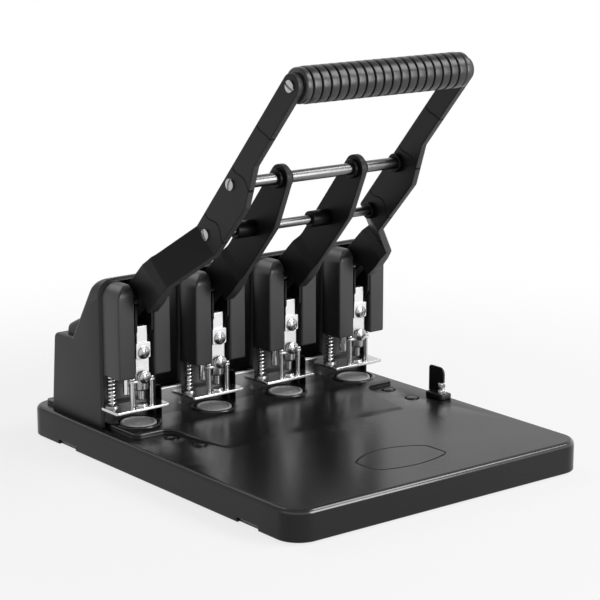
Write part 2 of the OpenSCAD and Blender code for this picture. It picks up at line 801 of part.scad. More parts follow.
module slide(i) {
    color([0.8, 0.8, 0.82]) at_head(i) difference() {
        union() {
            translate([-bar_w / 2, -slide_t / 2, body_top - 1])
                cube([bar_w, slide_t, bar_top - body_top + 1]);
            translate([-slide_w / 2, -slide_t / 2, cross_z]) cube([slide_w, slide_t, body_top - cross_z]);
            translate([-post_x, post_y - cross_r, cross_z]) cube([2 * post_x, 2 * cross_r, cross_h]);
            for (s = [-1, 1]) translate([s * post_x, post_y, cross_z]) cylinder(r = cross_r, h = cross_h);
            translate([0, 0, holder_z]) cylinder(d = holder_d, h = holder_h);
            translate([-clamp_w / 2, -slide_t / 2 - clamp_t, clamp_z]) cube([clamp_w, clamp_t + 1, clamp_h]);
        }
        for (s = [-1, 1]) translate([s * post_x, post_y, cross_z - 1])
            cylinder(d = post_d + 2 * run_fit, h = cross_h + 2);
        translate([0, 0, holder_z - 1]) cylinder(d = punch_d + 2 * run_fit, h = 11);
        for (z = [clamp_screw_z, holder_screw_z]) translate([0, 0, z]) rotate([90, 0, 0])
            cylinder(r = screw_r + run_fit, h = 40, center = true);
    }
}

// U-shaped steel yoke behind the slide: its ears take the drive pin in a short slot
module yoke(i) {
    ear_back = holder_d / 2;
    knee_z = body_top + 2.5;
    knee_rise = 8;
    slot_h = drive_pin_d + 2 * pin_play;
    slot_y0 = pivot_back - drive_r;
    slot_y1 = pivot_back - drive_run;
    color([0.28, 0.28, 0.29]) at_head(i) difference() {
        union() {
            for (s = [-1, 1]) translate([s * (ear_in + ear_t / 2), 0, 0]) side_extrude(ear_t)
                polygon(concat([[-slide_t / 2 + 1.3, yoke_z], [ear_back, yoke_z]],
                    arc(ear_back - 3, ear_top - 3, 3, 0, 90), arc(-ear_front + 3, ear_top - 3, 3, 90, 180),
                    [[-ear_front, knee_z + knee_rise], [-slide_t / 2 + 1.3, knee_z]]));
            translate([-ear_in - ear_t, slide_t / 2, yoke_z])
                cube([2 * (ear_in + ear_t), ear_back - slide_t / 2, web_top - yoke_z]);
        }
        translate([0, 0, pivot_z + drive_rise]) {
            for (y = [slot_y0, slot_y1]) translate([0, y, 0]) x_rod(slot_h, 2 * slot_w);
            translate([-slot_w, slot_y0, -slot_h / 2]) cube([2 * slot_w, slot_y1 - slot_y0, slot_h]);
        }
        translate([0, 0, clamp_screw_z]) rotate([90, 0, 0])
            cylinder(r = screw_r + run_fit, h = 40, center = true);
    }
}

module punch(i) {
    l = holder_z + 9 - tip_z;
    bevel = 1;
    color([0.7, 0.7, 0.72]) at_head(i) translate([0, 0, tip_z]) difference() {
        union() {
            cylinder(d1 = punch_d - 2 * punch_wall + 0.3, d2 = punch_d, h = bevel);
            translate([0, 0, bevel]) cylinder(d = punch_d, h = l - bevel);
        }
        translate([0, 0, -1]) cylinder(d = punch_d - 2 * punch_wall, h = l + 2);
    }
}

module slide_screws(i) {
    head_d = 11.4;
    dome_r = 7;
    dome_h = 3;
    color([0.8, 0.8, 0.8]) at_head(i) {
        for (p = [[clamp_screw_z, slide_t / 2 + clamp_t, 9], [holder_screw_z, holder_d / 2, 3]])
            translate([0, -p[1], p[0]]) rotate([90, 0, 0]) {
                intersection() {
                    translate([0, 0, dome_h - dome_r]) sphere(dome_r);
                    cylinder(d = head_d, h = dome_h);
                }
                translate([0, 0, -p[2]]) cylinder(r = screw_r, h = p[2] + 0.5);
            }
    }
}

module hold_plate(i) {
    post_top = cross_z + cross_h + part_gap;
    color([0.82, 0.82, 0.83]) at_head(i) difference() {
        union() {
            translate([-plate_left, -plate_front, plate_z])
                cube([plate_w, plate_front + plate_back, plate_t]);
            for (s = [-1, 1]) translate([s * post_x, post_y, plate_z]) {
                cylinder(d = post_d, h = post_top - plate_z);
                translate([0, 0, post_top - plate_z]) cylinder(d = post_head_d, h = post_head_h);
            }
            translate([guide_post_x, guide_post_y, plate_z]) {
                cylinder(d = flange_d, h = plate_t + flange_h);
                cylinder(d = guide_post_d + 2 * sleeve_wall, h = plate_t + flange_h + sleeve_h);
            }
            translate([0, 0, plate_z]) {
                intersection() {
                    cylinder(d = bush_d, h = plate_t + 1.2);
                    translate([-post_x + post_d / 2 + 0.4, -plate_front, 0])
                        cube([2 * post_x - post_d - 0.8, plate_front + plate_back, plate_t + 2]);
                }
                cylinder(d = bush_neck_d, h = plate_t + 3.2);
            }
        }
        translate([0, 0, plate_z - 1]) cylinder(d = punch_d + 2 * slide_gap, h = plate_t + 6);
        translate([guide_post_x, guide_post_y, plate_z - 1])
            cylinder(d = guide_post_d + 2 * run_fit, h = plate_t + flange_h + sleeve_h + 2);
    }
}

// Spring centreline: a straight foot, a bend, the curls, then the same again at the top
spring_r = (spring_d - wire_d) / 2;
rings_per_curl = 8;
spring_sides = 6;
ring_n = curl_n * rings_per_curl;
spring_rise = spring_z1 - spring_z0 - 3 * wire_d;
curl_pitch = spring_rise / curl_n;
climb = atan(curl_pitch / (2 * 180 * spring_r * PI / 180));
function spring_stations() = concat(
    [[-22, 0, 90], [-22, wire_d, 90], [-14, 1.45 * wire_d, 45]],
    [for (k = [0:ring_n]) [360 * k / rings_per_curl, 1.5 * wire_d + spring_rise * k / ring_n, climb]],
    [[360 * curl_n + 14, spring_z1 - spring_z0 - 1.45 * wire_d, 45],
        [360 * curl_n + 22, spring_z1 - spring_z0 - wire_d, 90],
        [360 * curl_n + 22, spring_z1 - spring_z0, 90]]);
function spring_centre(s) = [spring_r * cos(s[0]), spring_r * sin(s[0]), s[1]];
function spring_ring(s) =
    let (out = [cos(s[0]), sin(s[0]), 0], side = [sin(s[0]) * sin(s[2]), -cos(s[0]) * sin(s[2]), cos(s[2])])
    [for (k = [0:spring_sides - 1]) let (a = 360 * k / spring_sides)
        spring_centre(s) + wire_d / 2 * (cos(a) * out + sin(a) * side)];

// Least distance between parts of the wire that are at least half a curl apart, less the wire
function spring_gap(c) =
    let (half = rings_per_curl / 2)
    min([for (a = [0:len(c) - 1]) for (b = [a + half:1:len(c) - 1]) norm(c[a] - c[b])]) - wire_d;
echo(spring_least_gap = spring_gap([for (s = spring_stations()) spring_centre(s)]));

module spring(i) {
    stations = spring_stations();
    n = len(stations);
    m = spring_sides;
    points = [for (s = stations) each spring_ring(s)];
    walls = [for (r = [0:n - 2], k = [0:m - 1]) let (a = r * m + k, b = r * m + (k + 1) % m) each
        [[a, a + m, b], [b, a + m, b + m]]];
    caps = [for (k = [1:m - 2]) each [[0, k, k + 1], [(n - 1) * m, (n - 1) * m + k + 1, (n - 1) * m + k]]];
    color([0.75, 0.75, 0.76]) at_head(i) translate([guide_post_x, guide_post_y, spring_z0])
        polyhedron(points, concat(walls, caps));
}

base_shell();
bottom_plate();
rubber_feet();
bottom_screws();
head_screws();
cutting_discs();
back_stops();
cover_screws();
pivot_pins();
guide_posts();
stop_pins();
side_guide();
guide_screw();
upper_rod();
lower_rod();
rod_collars();
arm_screws();
grip_tube();
grip_sleeve();
grip_caps();
drive_pins();
for (i = [0:head_n - 1]) {
    head_frame(i);
    head_cover(i);
    lever(i);
    slide(i);
    yoke(i);
    punch(i);
    slide_screws(i);
    hold_plate(i);
    spring(i);
}
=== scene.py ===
"""Looks of a heavy-duty four-hole paper punch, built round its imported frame."""
import json
import bmesh
import bpy
import numpy as np
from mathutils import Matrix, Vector
from mathutils.geometry import delaunay_2d_cdt


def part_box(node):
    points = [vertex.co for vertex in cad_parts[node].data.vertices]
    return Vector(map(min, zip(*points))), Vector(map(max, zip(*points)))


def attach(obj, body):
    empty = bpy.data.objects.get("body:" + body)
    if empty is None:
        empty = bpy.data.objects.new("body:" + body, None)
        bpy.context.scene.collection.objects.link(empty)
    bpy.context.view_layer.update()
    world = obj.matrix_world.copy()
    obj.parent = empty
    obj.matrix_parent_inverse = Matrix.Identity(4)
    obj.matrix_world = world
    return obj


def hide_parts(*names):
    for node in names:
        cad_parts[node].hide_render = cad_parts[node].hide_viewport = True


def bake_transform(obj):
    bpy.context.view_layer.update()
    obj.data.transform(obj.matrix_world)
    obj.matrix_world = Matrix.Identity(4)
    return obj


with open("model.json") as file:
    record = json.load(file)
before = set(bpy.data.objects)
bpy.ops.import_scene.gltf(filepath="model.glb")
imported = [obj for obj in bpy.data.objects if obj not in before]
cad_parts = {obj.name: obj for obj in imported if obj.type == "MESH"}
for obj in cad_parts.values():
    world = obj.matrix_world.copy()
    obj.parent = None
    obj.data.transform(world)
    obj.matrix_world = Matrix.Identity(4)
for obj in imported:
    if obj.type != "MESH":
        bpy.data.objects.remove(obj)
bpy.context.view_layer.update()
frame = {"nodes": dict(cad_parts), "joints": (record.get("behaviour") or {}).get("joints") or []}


# Base moulding: one hollow black plastic shell with a satin top, a round edge and a low platform for
# the heads. It is injection moulded, and screwed to a steel bottom plate from below.
# All shapes here are worked out in millimetres and put into the meshes in metres.
MM = 0.001


def box_mm(node):
    """Lowest and highest corner of a CAD node at rest, in millimetres."""
    low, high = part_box(node)
    return np.array(low) / MM, np.array(high) / MM


def filleted(corners, radii, steps=8):
    """Closed outline with round corners, counter-clockwise, and its outward normals.

    Corner k at t: centre(k) + side(k) * radius(k) * normal(k, t), where the normal turns from the edge
    before the corner to the edge after it as t goes from 0 to 1.
    """
    corner = np.asarray(corners, float)
    radius = np.broadcast_to(np.asarray(radii, float), len(corner))
    ahead = np.roll(corner, -1, 0) - corner
    ahead /= np.maximum(np.linalg.norm(ahead, axis=1, keepdims=True), 1e-9)
    behind = np.roll(ahead, 1, 0)
    turn = np.arctan2(behind[:, 0] * ahead[:, 1] - behind[:, 1] * ahead[:, 0], (behind * ahead).sum(1))
    out = np.stack([behind[:, 1], -behind[:, 0]], 1)
    side_r = np.sign(turn) * radius
    centre = corner - behind * (radius * np.tan(np.abs(turn) / 2))[:, None] - out * side_r[:, None]
    angle = turn[:, None] * np.linspace(0, 1, steps + 1)
    normal = np.stack([np.cos(angle) * out[:, :1] - np.sin(angle) * out[:, 1:],
                       np.sin(angle) * out[:, :1] + np.cos(angle) * out[:, 1:]], -1)
    points = centre[:, None] + side_r[:, None, None] * normal
    return points.reshape(-1, 2), normal.reshape(-1, 2)


def rectangle_corners(x0, y0, x1, y1):
    """Corners of a rectangle, counter-clockwise."""
    return [(x0, y0), (x1, y0), (x1, y1), (x0, y1)]


def circle(x, y, radius, steps=64):
    """Circle and its outward normals: centre + radius * (cos u, sin u)."""
    u = np.arange(steps) * 2 * np.pi / steps
    normal = np.stack([np.cos(u), np.sin(u)], 1)
    return np.array([x, y]) + radius * normal, normal


def crossed(loop, normal, axis, stations):
    """Outline with points added, on the line between neighbours, where a coordinate passes a station."""
    for station in stations:
        step = np.roll(loop, -1, 0) - loop
        share = (station - loop[:, axis]) / np.where(step[:, axis] == 0, np.inf, step[:, axis])
        at = np.flatnonzero((share > 1e-6) & (share < 1 - 1e-6))
        blend = normal[at] + share[at, None] * (np.roll(normal, -1, 0)[at] - normal[at])
        loop = np.insert(loop, at + 1, loop[at] + share[at, None] * step[at], 0)
        normal = np.insert(normal, at + 1, blend / np.linalg.norm(blend, axis=1, keepdims=True), 0)
    return loop, normal


def grid(points, ring=True):
    """Quads over a grid of points, rows v by columns u, the columns closed to a ring unless ring is off."""
    rows, columns = points.shape[:2]
    index = np.arange(rows * columns).reshape(rows, columns)
    if ring:
        index = np.concatenate([index, index[:, :1]], 1)
    quads = np.stack([index[:-1, :-1], index[1:, :-1], index[1:, 1:], index[:-1, 1:]], -1)
    return points.reshape(-1, 3), quads.reshape(-1, 4)


def band(loop, normal, offsets, heights):
    """Band along an outline, from inside out: P(u, v) = loop(u) + offset(v) * normal(u), at height(v)."""
    flat = loop[None] + np.asarray(offsets, float)[:, None, None] * normal[None]
    height = np.broadcast_to(np.asarray(heights, float)[:, None], flat.shape[:2])
    return np.dstack([flat, height])


def filled(loops, z, up=True, lines=()):
    """Face inside the first loop and outside the others, at height z or z(y).

    The triangles are cut along the outlines, and along lines given as pairs of point indices.
    """
    flat = np.concatenate(loops)
    ends = np.cumsum([0] + [len(loop) for loop in loops])
    after = np.concatenate([np.roll(np.arange(a, b), -1) for a, b in zip(ends, ends[1:])])
    edges = [*enumerate(after.tolist()), *lines]
    made = delaunay_2d_cdt([Vector(p) for p in flat], edges, [], 0, 1e-5)
    source = np.array([given[0] if given else -1 for given in made[3]])
    triangles = source[np.array(made[2])]
    triangles = triangles[(triangles >= 0).all(1)]
    a, b, c = flat[triangles].transpose(1, 0, 2)
    area = (b - a)[:, 0] * (c - a)[:, 1] - (b - a)[:, 1] * (c - a)[:, 0]
    triangles[area < 0] = triangles[area < 0][:, ::-1]
    middle = (a + b + c)[:, None] / 3
    start, end = flat[None], flat[after][None]
    spans = (start[..., 1] > middle[..., 1]) != (end[..., 1] > middle[..., 1])
    rise = np.where(end[..., 1] == start[..., 1], np.inf, end[..., 1] - start[..., 1])
    reach = start[..., 0] + (end[..., 0] - start[..., 0]) * (middle[..., 1] - start[..., 1]) / rise
    inside = (spans & (middle[..., 0] < reach)).sum(1) % 2 == 1
    triangles = triangles[inside & (np.abs(area) > 1e-9)]
    height = z(flat[:, 1]) if callable(z) else np.full(len(flat), z)
    return np.column_stack([flat, height]), triangles if up else triangles[:, ::-1]


def put(name, parts, material, body=None, nodes=(), sharp=28):
    """Joins surfaces, each (points, faces) in millimetres, welds their seams and hands over the piece."""
    starts = np.cumsum([0] + [len(points) for points, _ in parts])
    faces = [face for (_, quads), start in zip(parts, starts) for face in (quads + start).tolist()]
    mesh = bpy.data.meshes.new(name)
    mesh.from_pydata((np.concatenate([points for points, _ in parts]) * MM).tolist(), [], faces)
    shell = bmesh.new()
    shell.from_mesh(mesh)
    bmesh.ops.remove_doubles(shell, verts=shell.verts, dist=0.002 * MM)
    loose = [vertex for vertex in shell.verts if not vertex.link_faces]
    bmesh.ops.delete(shell, geom=loose, context="VERTS")
    shell.to_mesh(mesh)
    shell.free()
    mesh.shade_smooth()
    mesh.set_sharp_from_angle(angle=np.radians(sharp))
    mesh.materials.append(material)
    piece = bpy.data.objects.new(name, mesh)
    bpy.context.scene.collection.objects.link(piece)
    if body:
        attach(piece, body)
    if nodes:
        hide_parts(*nodes)
    return piece


class Value:
    """A socket of a material. Arithmetic on it adds Math nodes, and node() adds any other node."""

    def __init__(self, tree, socket=None):
        self.tree = tree
        self.socket = socket

    def node(self, kind, sockets=(), output=0, **settings):
        """Adds a node: its settings first, then the values or links of its sockets. Returns one output."""
        made = self.tree.nodes.new("ShaderNode" + kind)
        for setting, choice in settings.items():
            setattr(made, setting, choice)
        for socket, given in dict(sockets).items():
            if isinstance(given, Value):
                self.tree.links.new(given.socket, made.inputs[socket])
            else:
                made.inputs[socket].default_value = given
        return Value(self.tree, made.outputs[output])

    def __add__(self, other):
        return self.node("Math", {0: self, 1: other}, operation="ADD")

    def __sub__(self, other):
        return self.node("Math", {0: self, 1: other}, operation="SUBTRACT")

    def __rsub__(self, other):
        return self.node("Math", {0: other, 1: self}, operation="SUBTRACT")

    def __mul__(self, other):
        return self.node("Math", {0: self, 1: other}, operation="MULTIPLY")

    __radd__ = __add__
    __rmul__ = __mul__


def rising(value, low, high):
    """0 below low, 1 above high, smooth between them."""
    return value.node("MapRange", {0: value, 1: low, 2: high}, interpolation_type="SMOOTHSTEP")


def noise(place, scale, detail=2.0, roughness=0.5):
    """Noise over the piece, with features about 1 / scale metres wide."""
    return place.node("TexNoise", {"Vector": place, "Scale": scale, "Detail": detail, "Roughness": roughness})


def stretched(place, scale):
    """Coordinates scaled by axis, for streaks."""
    return place.node("Mapping", {"Vector": place, "Scale": scale})


def mixed(share, first, second):
    """Colour that goes from first to second with share."""
    return share.node("Mix", {0: share, 6: first, 7: second}, output=2, data_type="RGBA")


def grey(level, blue=1.0):
    """A grey, or a slightly bluish one, as a colour."""
    return level, level, level * blue, 1.0


def finish(name, constants):
    """New material with constants on its Principled shader. Returns it, the shader and Object coordinates."""
    material = bpy.data.materials.new(name)
    material.use_nodes = True
    shader = material.node_tree.nodes["Principled BSDF"]
    for socket, constant in constants.items():
        shader.inputs[socket].default_value = constant
    return material, shader, Value(material.node_tree).node("TexCoord", output="Object")


def feed(shader, sockets):
    """Links what varies over the surface into the shader."""
    for socket, value in sockets.items():
        value.tree.links.new(value.socket, shader.inputs[socket])


def bumped(height, distance):
    """Normal of a surface raised by height, in metres at full height."""
    return height.node("Bump", {"Height": height, "Distance": distance, "Strength": 1.0}, output="Normal")


def moulded_plastic(name, level, gloss, grain=0.00003, shine=0.5):
    """Satin black moulding: spark grain, faint cloudy gloss and a little dust that greys the flats."""
    material, shader, place = finish(name, {"Specular IOR Level": shine})
    cloud = noise(place, 14, 4)
    spark = noise(place, 1500, 3, 0.6)
    dust = rising(noise(place, 420, 4, 0.7), 0.66, 0.8)
    feed(shader, {
        "Base Color": mixed(0.3 * cloud + 0.25 * dust, grey(level, 1.05), grey(level * 1.9, 1.03)),
        "Roughness": gloss + 0.12 * (cloud - 0.5) + 0.08 * (spark - 0.5) + 0.1 * dust,
        "Normal": bumped(spark, grain),
    })
    return material


base_low, base_high = box_mm("base_shell")
deck_z = box_mm("head_frame_1")[0][2]
PLATFORM_H = 4.0
base_top = deck_z - PLATFORM_H
disc_low, disc_high = box_mm("cutting_discs")
head_x = {i: float(sum(corner[0] for corner in box_mm(f"punch_{i}"))) / 2 for i in (1, 2, 3, 4)}
row_y = float(sum(corner[1] for corner in box_mm("punch_1"))) / 2
PITCH, DISC_BACK = 80.0, 5.0
BASE_R, EDGE_R, WALL, HOLD = 21.0, 4.0, 3.0, 0.8
NOTCH_H, NOTCH_HALF, NOTCH_SEAM = 3.5, 14.0, 0.02
NOTCH_Y = (-135.0, 129.0)


def base_skirt():
    """Skirt and round top edge: P(u, v) = outline(u) - inset(v) * normal(u), raised at the cut-outs."""
    outline = filleted(rectangle_corners(*base_low[:2], *base_high[:2]), BASE_R, 12)
    ends = [y + side * NOTCH_HALF + seam for y in NOTCH_Y for side in (-1, 1)
            for seam in (-NOTCH_SEAM, NOTCH_SEAM)]
    loop, normal = crossed(*outline, 1, ends)
    q = np.linspace(0, np.pi / 2, 9)
    inset = np.concatenate([[EDGE_R + HOLD], EDGE_R * (1 - np.sin(q)), [0, 0, 0.6, WALL, WALL]])
    in_notch = np.abs(loop[:, 1:] - np.array(NOTCH_Y)).min(1) < NOTCH_HALF
    foot = base_low[2] + NOTCH_H * (in_notch & (np.abs(loop[:, 0]) > base_high[0] - 1))
    top = np.concatenate([[base_top], base_top - EDGE_R * (1 - np.cos(q))])
    height = np.concatenate([np.broadcast_to(top[:, None], (len(top), len(loop))),
                             [foot + 3, foot + 0.6, foot, foot, np.full(len(loop), base_top - WALL)]])
    return np.dstack([loop[None] - inset[:, None, None] * normal[None], height])


MARKS = ((-116.5, 24), (-111, -8), (126, 26), (125, -8))
INLAY_HALF, INLAY_BACK, INLAY_FRONT = 39.0, -125.0, -150.0
STEP_Y, RAMP_FOOT, RAMP_DEPTH, RAMP_TIP = row_y - 26, row_y - 95, 13.5, 5.0
SIDE_X, NECK_X, TIP_X, BACK_Y = 143.0, 108.0, 96.0, base_high[1] - 10
LEVEL_Y, TIP_H = row_y - 20, 0.5


def platform_z(y):
    """Top of the platform: level under the heads, then falling evenly to its front tips."""
    fall = np.clip((LEVEL_Y - y) / (LEVEL_Y - RAMP_FOOT), 0, 1)
    return deck_z - (deck_z - base_top - TIP_H) * fall


def platform_bands():
    """Platform edge: P(u, v) = loop(u) + out(v) * normal(u), a wall with a round lip.

    In front it is a ramp that falls evenly with v. The ramp's upper edge is the arch
    y = foot + tip + (depth - tip) * (1 - (x / tip_x) ** 2).
    """
    t = np.linspace(-1, 1, 25)[1:-1]
    arch = np.stack([t * TIP_X, RAMP_FOOT + RAMP_TIP + (RAMP_DEPTH - RAMP_TIP) * (1 - t * t)], 1)
    right = [(TIP_X, RAMP_FOOT + RAMP_TIP), (NECK_X, STEP_Y), (SIDE_X, STEP_Y), (SIDE_X, BACK_Y)]
    left = [(-x, y) for x, y in right[::-1]]
    radii = [6.0] * len(arch) + [2.4, 12, 6, 3, 3, 6, 12, 2.4]
    loop, normal = filleted(np.concatenate([arch, right, left]), radii)
    in_front = (loop[:, 1] < RAMP_FOOT + RAMP_DEPTH + 0.1) & (np.abs(loop[:, 0]) < TIP_X + 0.5)
    top = platform_z(loop[:, 1])
    rise = top - base_top
    lip = np.minimum(0.9, 0.5 * rise)
    q = np.linspace(0, np.pi / 2, 6)[:, None]
    wall = np.array([0.4, 0.2, 0.08, 0.0])[:, None]
    draft = np.broadcast_to([[0.0], [0.05], [0.15], [0.4]], (len(wall), len(loop)))
    out = np.concatenate([lip * (np.sin(q) - 1), draft])
    fall = np.concatenate([lip * (1 - np.cos(q)), rise - wall * (rise - lip)])
    v = np.linspace(0, 1, len(out))[:, None]
    foot = np.stack([loop[:, 0], np.full(len(loop), RAMP_FOOT)], 1)
    edge = np.where(in_front[:, None], loop + v[..., None] * (foot - loop), loop + out[..., None] * normal)
    height = top - np.where(in_front, rise * np.clip((v - 0.05) / 0.9, 0, 1), fall)
    edge = np.concatenate([[loop - 2 * HOLD * normal], edge, [edge[-1] + HOLD * normal]])
    height = np.concatenate([[platform_z(edge[0, :, 1])], height, [np.full(len(loop), base_top)]])
    return np.dstack([edge, height])


def disc_seat(x, y):
    """Raised rim and recess for a cutting disc, turned: radius(v) and height(v) from the middle out."""
    seat_r, rim_w, rim_h = (disc_high[1] - disc_low[1]) / 2 + 0.8, 3.0, disc_high[2] - deck_z
    q = np.linspace(0, np.pi, 9)
    radius = np.concatenate([[-seat_r, 0, 0], rim_w / 2 * (1 - np.cos(q)), [rim_w + HOLD]])
    height = np.concatenate([[disc_low[2]] * 2, [deck_z], deck_z + rim_h * np.sin(q) ** 0.7, [deck_z]])
    return band(*circle(x, y, seat_r, 72), radius, height)


def round_mark(x, y):
    """Plain round mark: a low button in a ring groove, radius(v) and height(v) from the middle out."""
    radius = np.array([-6.2, -4.6, -2.4, -1.4, -1.0, -0.8, 0.4, 0.6, 1.1])
    height = np.array([0.9, 0.85, 0.6, 0.25, -0.3, -1.2, -1.2, -0.1, 0.0])
    return band(*circle(x, y, 6.2, 48), radius, base_top + height)


def inlay_edge():
    """Flat inlay with a hairline gap: an outline of two arches, offset(v) and height(v) from the inside out."""
    t = np.linspace(-1, 1, 15)
    top = np.stack([-INLAY_HALF * t, INLAY_BACK + 15 * (1 - t * t)], 1)
    bottom = np.stack([INLAY_HALF * t, INLAY_FRONT - 9 * (1 - t * t)], 1)
    outline = filleted(np.concatenate([top, bottom]), 6.0, 5)
    offsets = [-1.6, -0.8, -0.55, -0.4, 0.4, 0.55, 0.8, 1.6]
    return band(*outline, offsets, base_top + np.array([0, 0, -0.12, -1.0, -1.0, -0.12, 0, 0]))


def base_plastic(name):
    """Satin black moulding, polished by sleeves and paper on its front edge and the platform's lips."""
    material = moulded_plastic(name, 0.008, 0.25, 0.00001, 0.25)
    shader = material.node_tree.nodes["Principled BSDF"]
    place = Value(material.node_tree).node("TexCoord", output="Object")
    normal = place.node("NewGeometry", output="Normal")
    upright = place.node("SeparateXYZ", {0: normal}, output="Z")
    back, up = (place.node("SeparateXYZ", {0: place}, output=axis) for axis in "YZ")
    rounded = rising(upright, 0.05, 0.25) * (1 - rising(upright, 0.9, 0.99))
    front = 1 - rising(back, (base_low[1] + 12) * MM, (base_low[1] + 20) * MM)
    lip = rising(up, (base_top + 0.6) * MM, (base_top + 1.2) * MM)
    shader.inputs["Coat Roughness"].default_value = 0.12
    feed(shader, {"Coat Weight": rounded * front.node("Math", {0: front, 1: lip}, operation="MAXIMUM")})
    return material


skirt = base_skirt()
platform = platform_bands()
seats = [disc_seat(x, row_y + DISC_BACK) for x in head_x.values()]
marks = [round_mark(x, y) for x, y in MARKS]
inlay = inlay_edge()
rim_x, rim_y = platform[0, :, 0], platform[0, :, 1]
crease = [int(np.argmin(np.abs(rim_y - LEVEL_Y) + 1e3 * (side * rim_x < SIDE_X - 9))) for side in (-1, 1)]
base_black = base_plastic("base black")
put("base_moulding", [
    *map(grid, [skirt, platform, *seats, *marks, inlay]),
    filled([skirt[0, :, :2], *[edge[-1, :, :2] for edge in (platform, inlay, *marks)]], base_top),
    filled([skirt[-1, :, :2]], base_top - WALL, up=False),
    filled([platform[0, :, :2], *[seat[-1, :, :2] for seat in seats]], platform_z, lines=[crease]),
    filled([inlay[0, :, :2]], base_top),
], base_black, "stand", ["base_shell"])


# Bottom of the base: a dark painted sheet steel plate held by pan screws, on four rubber feet.
# The plate is pressed flat, and the feet are glued into place.
def painted_sheet(name, level, shine=0.5):
    """Dark paint on sheet steel: an even orange-peel with a few rubbed patches."""
    material, shader, place = finish(name, {"Specular IOR Level": shine})
    peel = noise(place, 700, 2)
    rub = rising(noise(place, 30, 5, 0.65), 0.58, 0.75)
    feed(shader, {
        "Base Color": mixed(rub, grey(level), grey(level * 1.7)),
        "Roughness": 0.48 - 0.14 * rub,
        "Normal": bumped(peel, 0.00004),
    })
    return material


def foot_rubber(name):
    """Matt black rubber with fine pores and pale dust."""
    material, shader, place = finish(name, {"Specular IOR Level": 0.35})
    pores = noise(place, 1800, 4, 0.7)
    feed(shader, {
        "Base Color": mixed(rising(pores, 0.5, 0.8), grey(0.018), grey(0.05)),
        "Roughness": 0.78 + 0.15 * (pores - 0.5),
        "Normal": bumped(pores, 0.00006),
    })
    return material


def bright_steel(name, level, gloss, streak, haze=1.0):
    """Zinc-plated steel: fine streaks along one axis, cloudy plating and light stains."""
    material, shader, place = finish(name, {"Metallic": 1.0})
    lines = noise(stretched(place, streak), 1.0, 3, 0.6)
    cloud = noise(place, 55, 4, 0.6)
    stain = rising(noise(place, 210, 3, 0.7), 0.6, 0.8)
    feed(shader, {
        "Base Color": mixed(0.55 * cloud + 0.3 * stain, grey(level, 1.02), grey(level * 0.72, 0.98)),
        "Roughness": gloss + haze * (0.14 * (lines - 0.5) + 0.1 * (cloud - 0.5) + 0.08 * stain),
        "Normal": bumped(lines, haze * 0.000012),
    })
    return material


def coat(material, *nodes):
    """Gives CAD nodes a finish."""
    for node in nodes:
        for slot in frame["nodes"][node].material_slots:
            slot.material = material


ACROSS_X, UPRIGHT = (60, 2500, 2500), (2500, 2500, 60)
screw_zinc = bright_steel("screw zinc", 0.74, 0.24, (900, 900, 900))
coat(painted_sheet("bottom paint", 0.055), "bottom_plate")
coat(foot_rubber("foot rubber"), "rubber_feet")
coat(screw_zinc, "bottom_screws", "head_screws")


# Cutting discs: grainy grey nylon discs that lie loose in the recesses under the punches.
# They are turned by hand when the punches have worn a ring into them.
def worn_nylon(name):
    """Grainy nylon, with pale rings where the punches come down."""
    material, shader, place = finish(name, {"Specular IOR Level": 0.45})
    along = place.node("SeparateXYZ", {0: place}, output="X")
    along = along.node("Math", {0: along, 1: PITCH * MM}, operation="FLOORED_MODULO") - PITCH / 2 * MM
    back = place.node("SeparateXYZ", {0: place}, output="Y") - row_y * MM
    far = along.node("Math", {0: along * along + back * back, 1: 0.5}, operation="POWER")
    ring = far.node("Math", {0: far - 0.0029}, operation="ABSOLUTE")
    cut = 1 - rising(ring, 0.0001, 0.0006)
    grain = noise(place, 900, 5, 0.75)
    chips = rising(noise(place, 1500, 2), 0.6, 0.7)
    scuff = rising(noise(place, 260, 4, 0.75), 0.48, 0.7)
    feed(shader, {
        "Base Color": mixed(0.5 * chips + 0.5 * scuff + 0.4 * cut, grey(0.46), grey(0.95)),
        "Roughness": 0.4 + 0.25 * (grain - 0.5) + 0.1 * scuff,
        "Normal": bumped(grain + 0.4 * chips - 0.8 * cut, 0.00018),
    })
    return material


def turned(profile, x, y, steps=48):
    """Turned surface about an upright axis, from the bottom up: P(u, v) = (r(v) cos u, r(v) sin u, z(v))."""
    radius, height = np.asarray(profile, float).T
    return band(*circle(x, y, 0, steps), radius[::-1], height[::-1])


def rounded_profile(corners, radii, steps=6):
    """Open profile with round corners, its two ends kept."""
    points = filleted(corners, [0.01, *radii, 0.01], steps)[0]
    return np.concatenate([[corners[0]], points[steps + 1:-steps - 1], [corners[-1]]])


disc_r = (disc_high[1] - disc_low[1]) / 2 - 0.7
disc_foot, disc_top = disc_low[2], disc_high[2]
disc_profile = rounded_profile([(0, disc_foot), (disc_r, disc_foot), (disc_r, disc_top), (disc_r - 2.2, disc_top),
                                (disc_r - 3, disc_top - 0.9), (0.6, disc_top - 0.7), (0, disc_top - 1.3)],
                               [0.6, 0.8, 0.4, 0.4, 0.2])
put("worn_discs", [grid(turned(disc_profile, x, row_y + DISC_BACK, 72)) for x in head_x.values()],
    worn_nylon("disc nylon"), "stand", ["cutting_discs"])


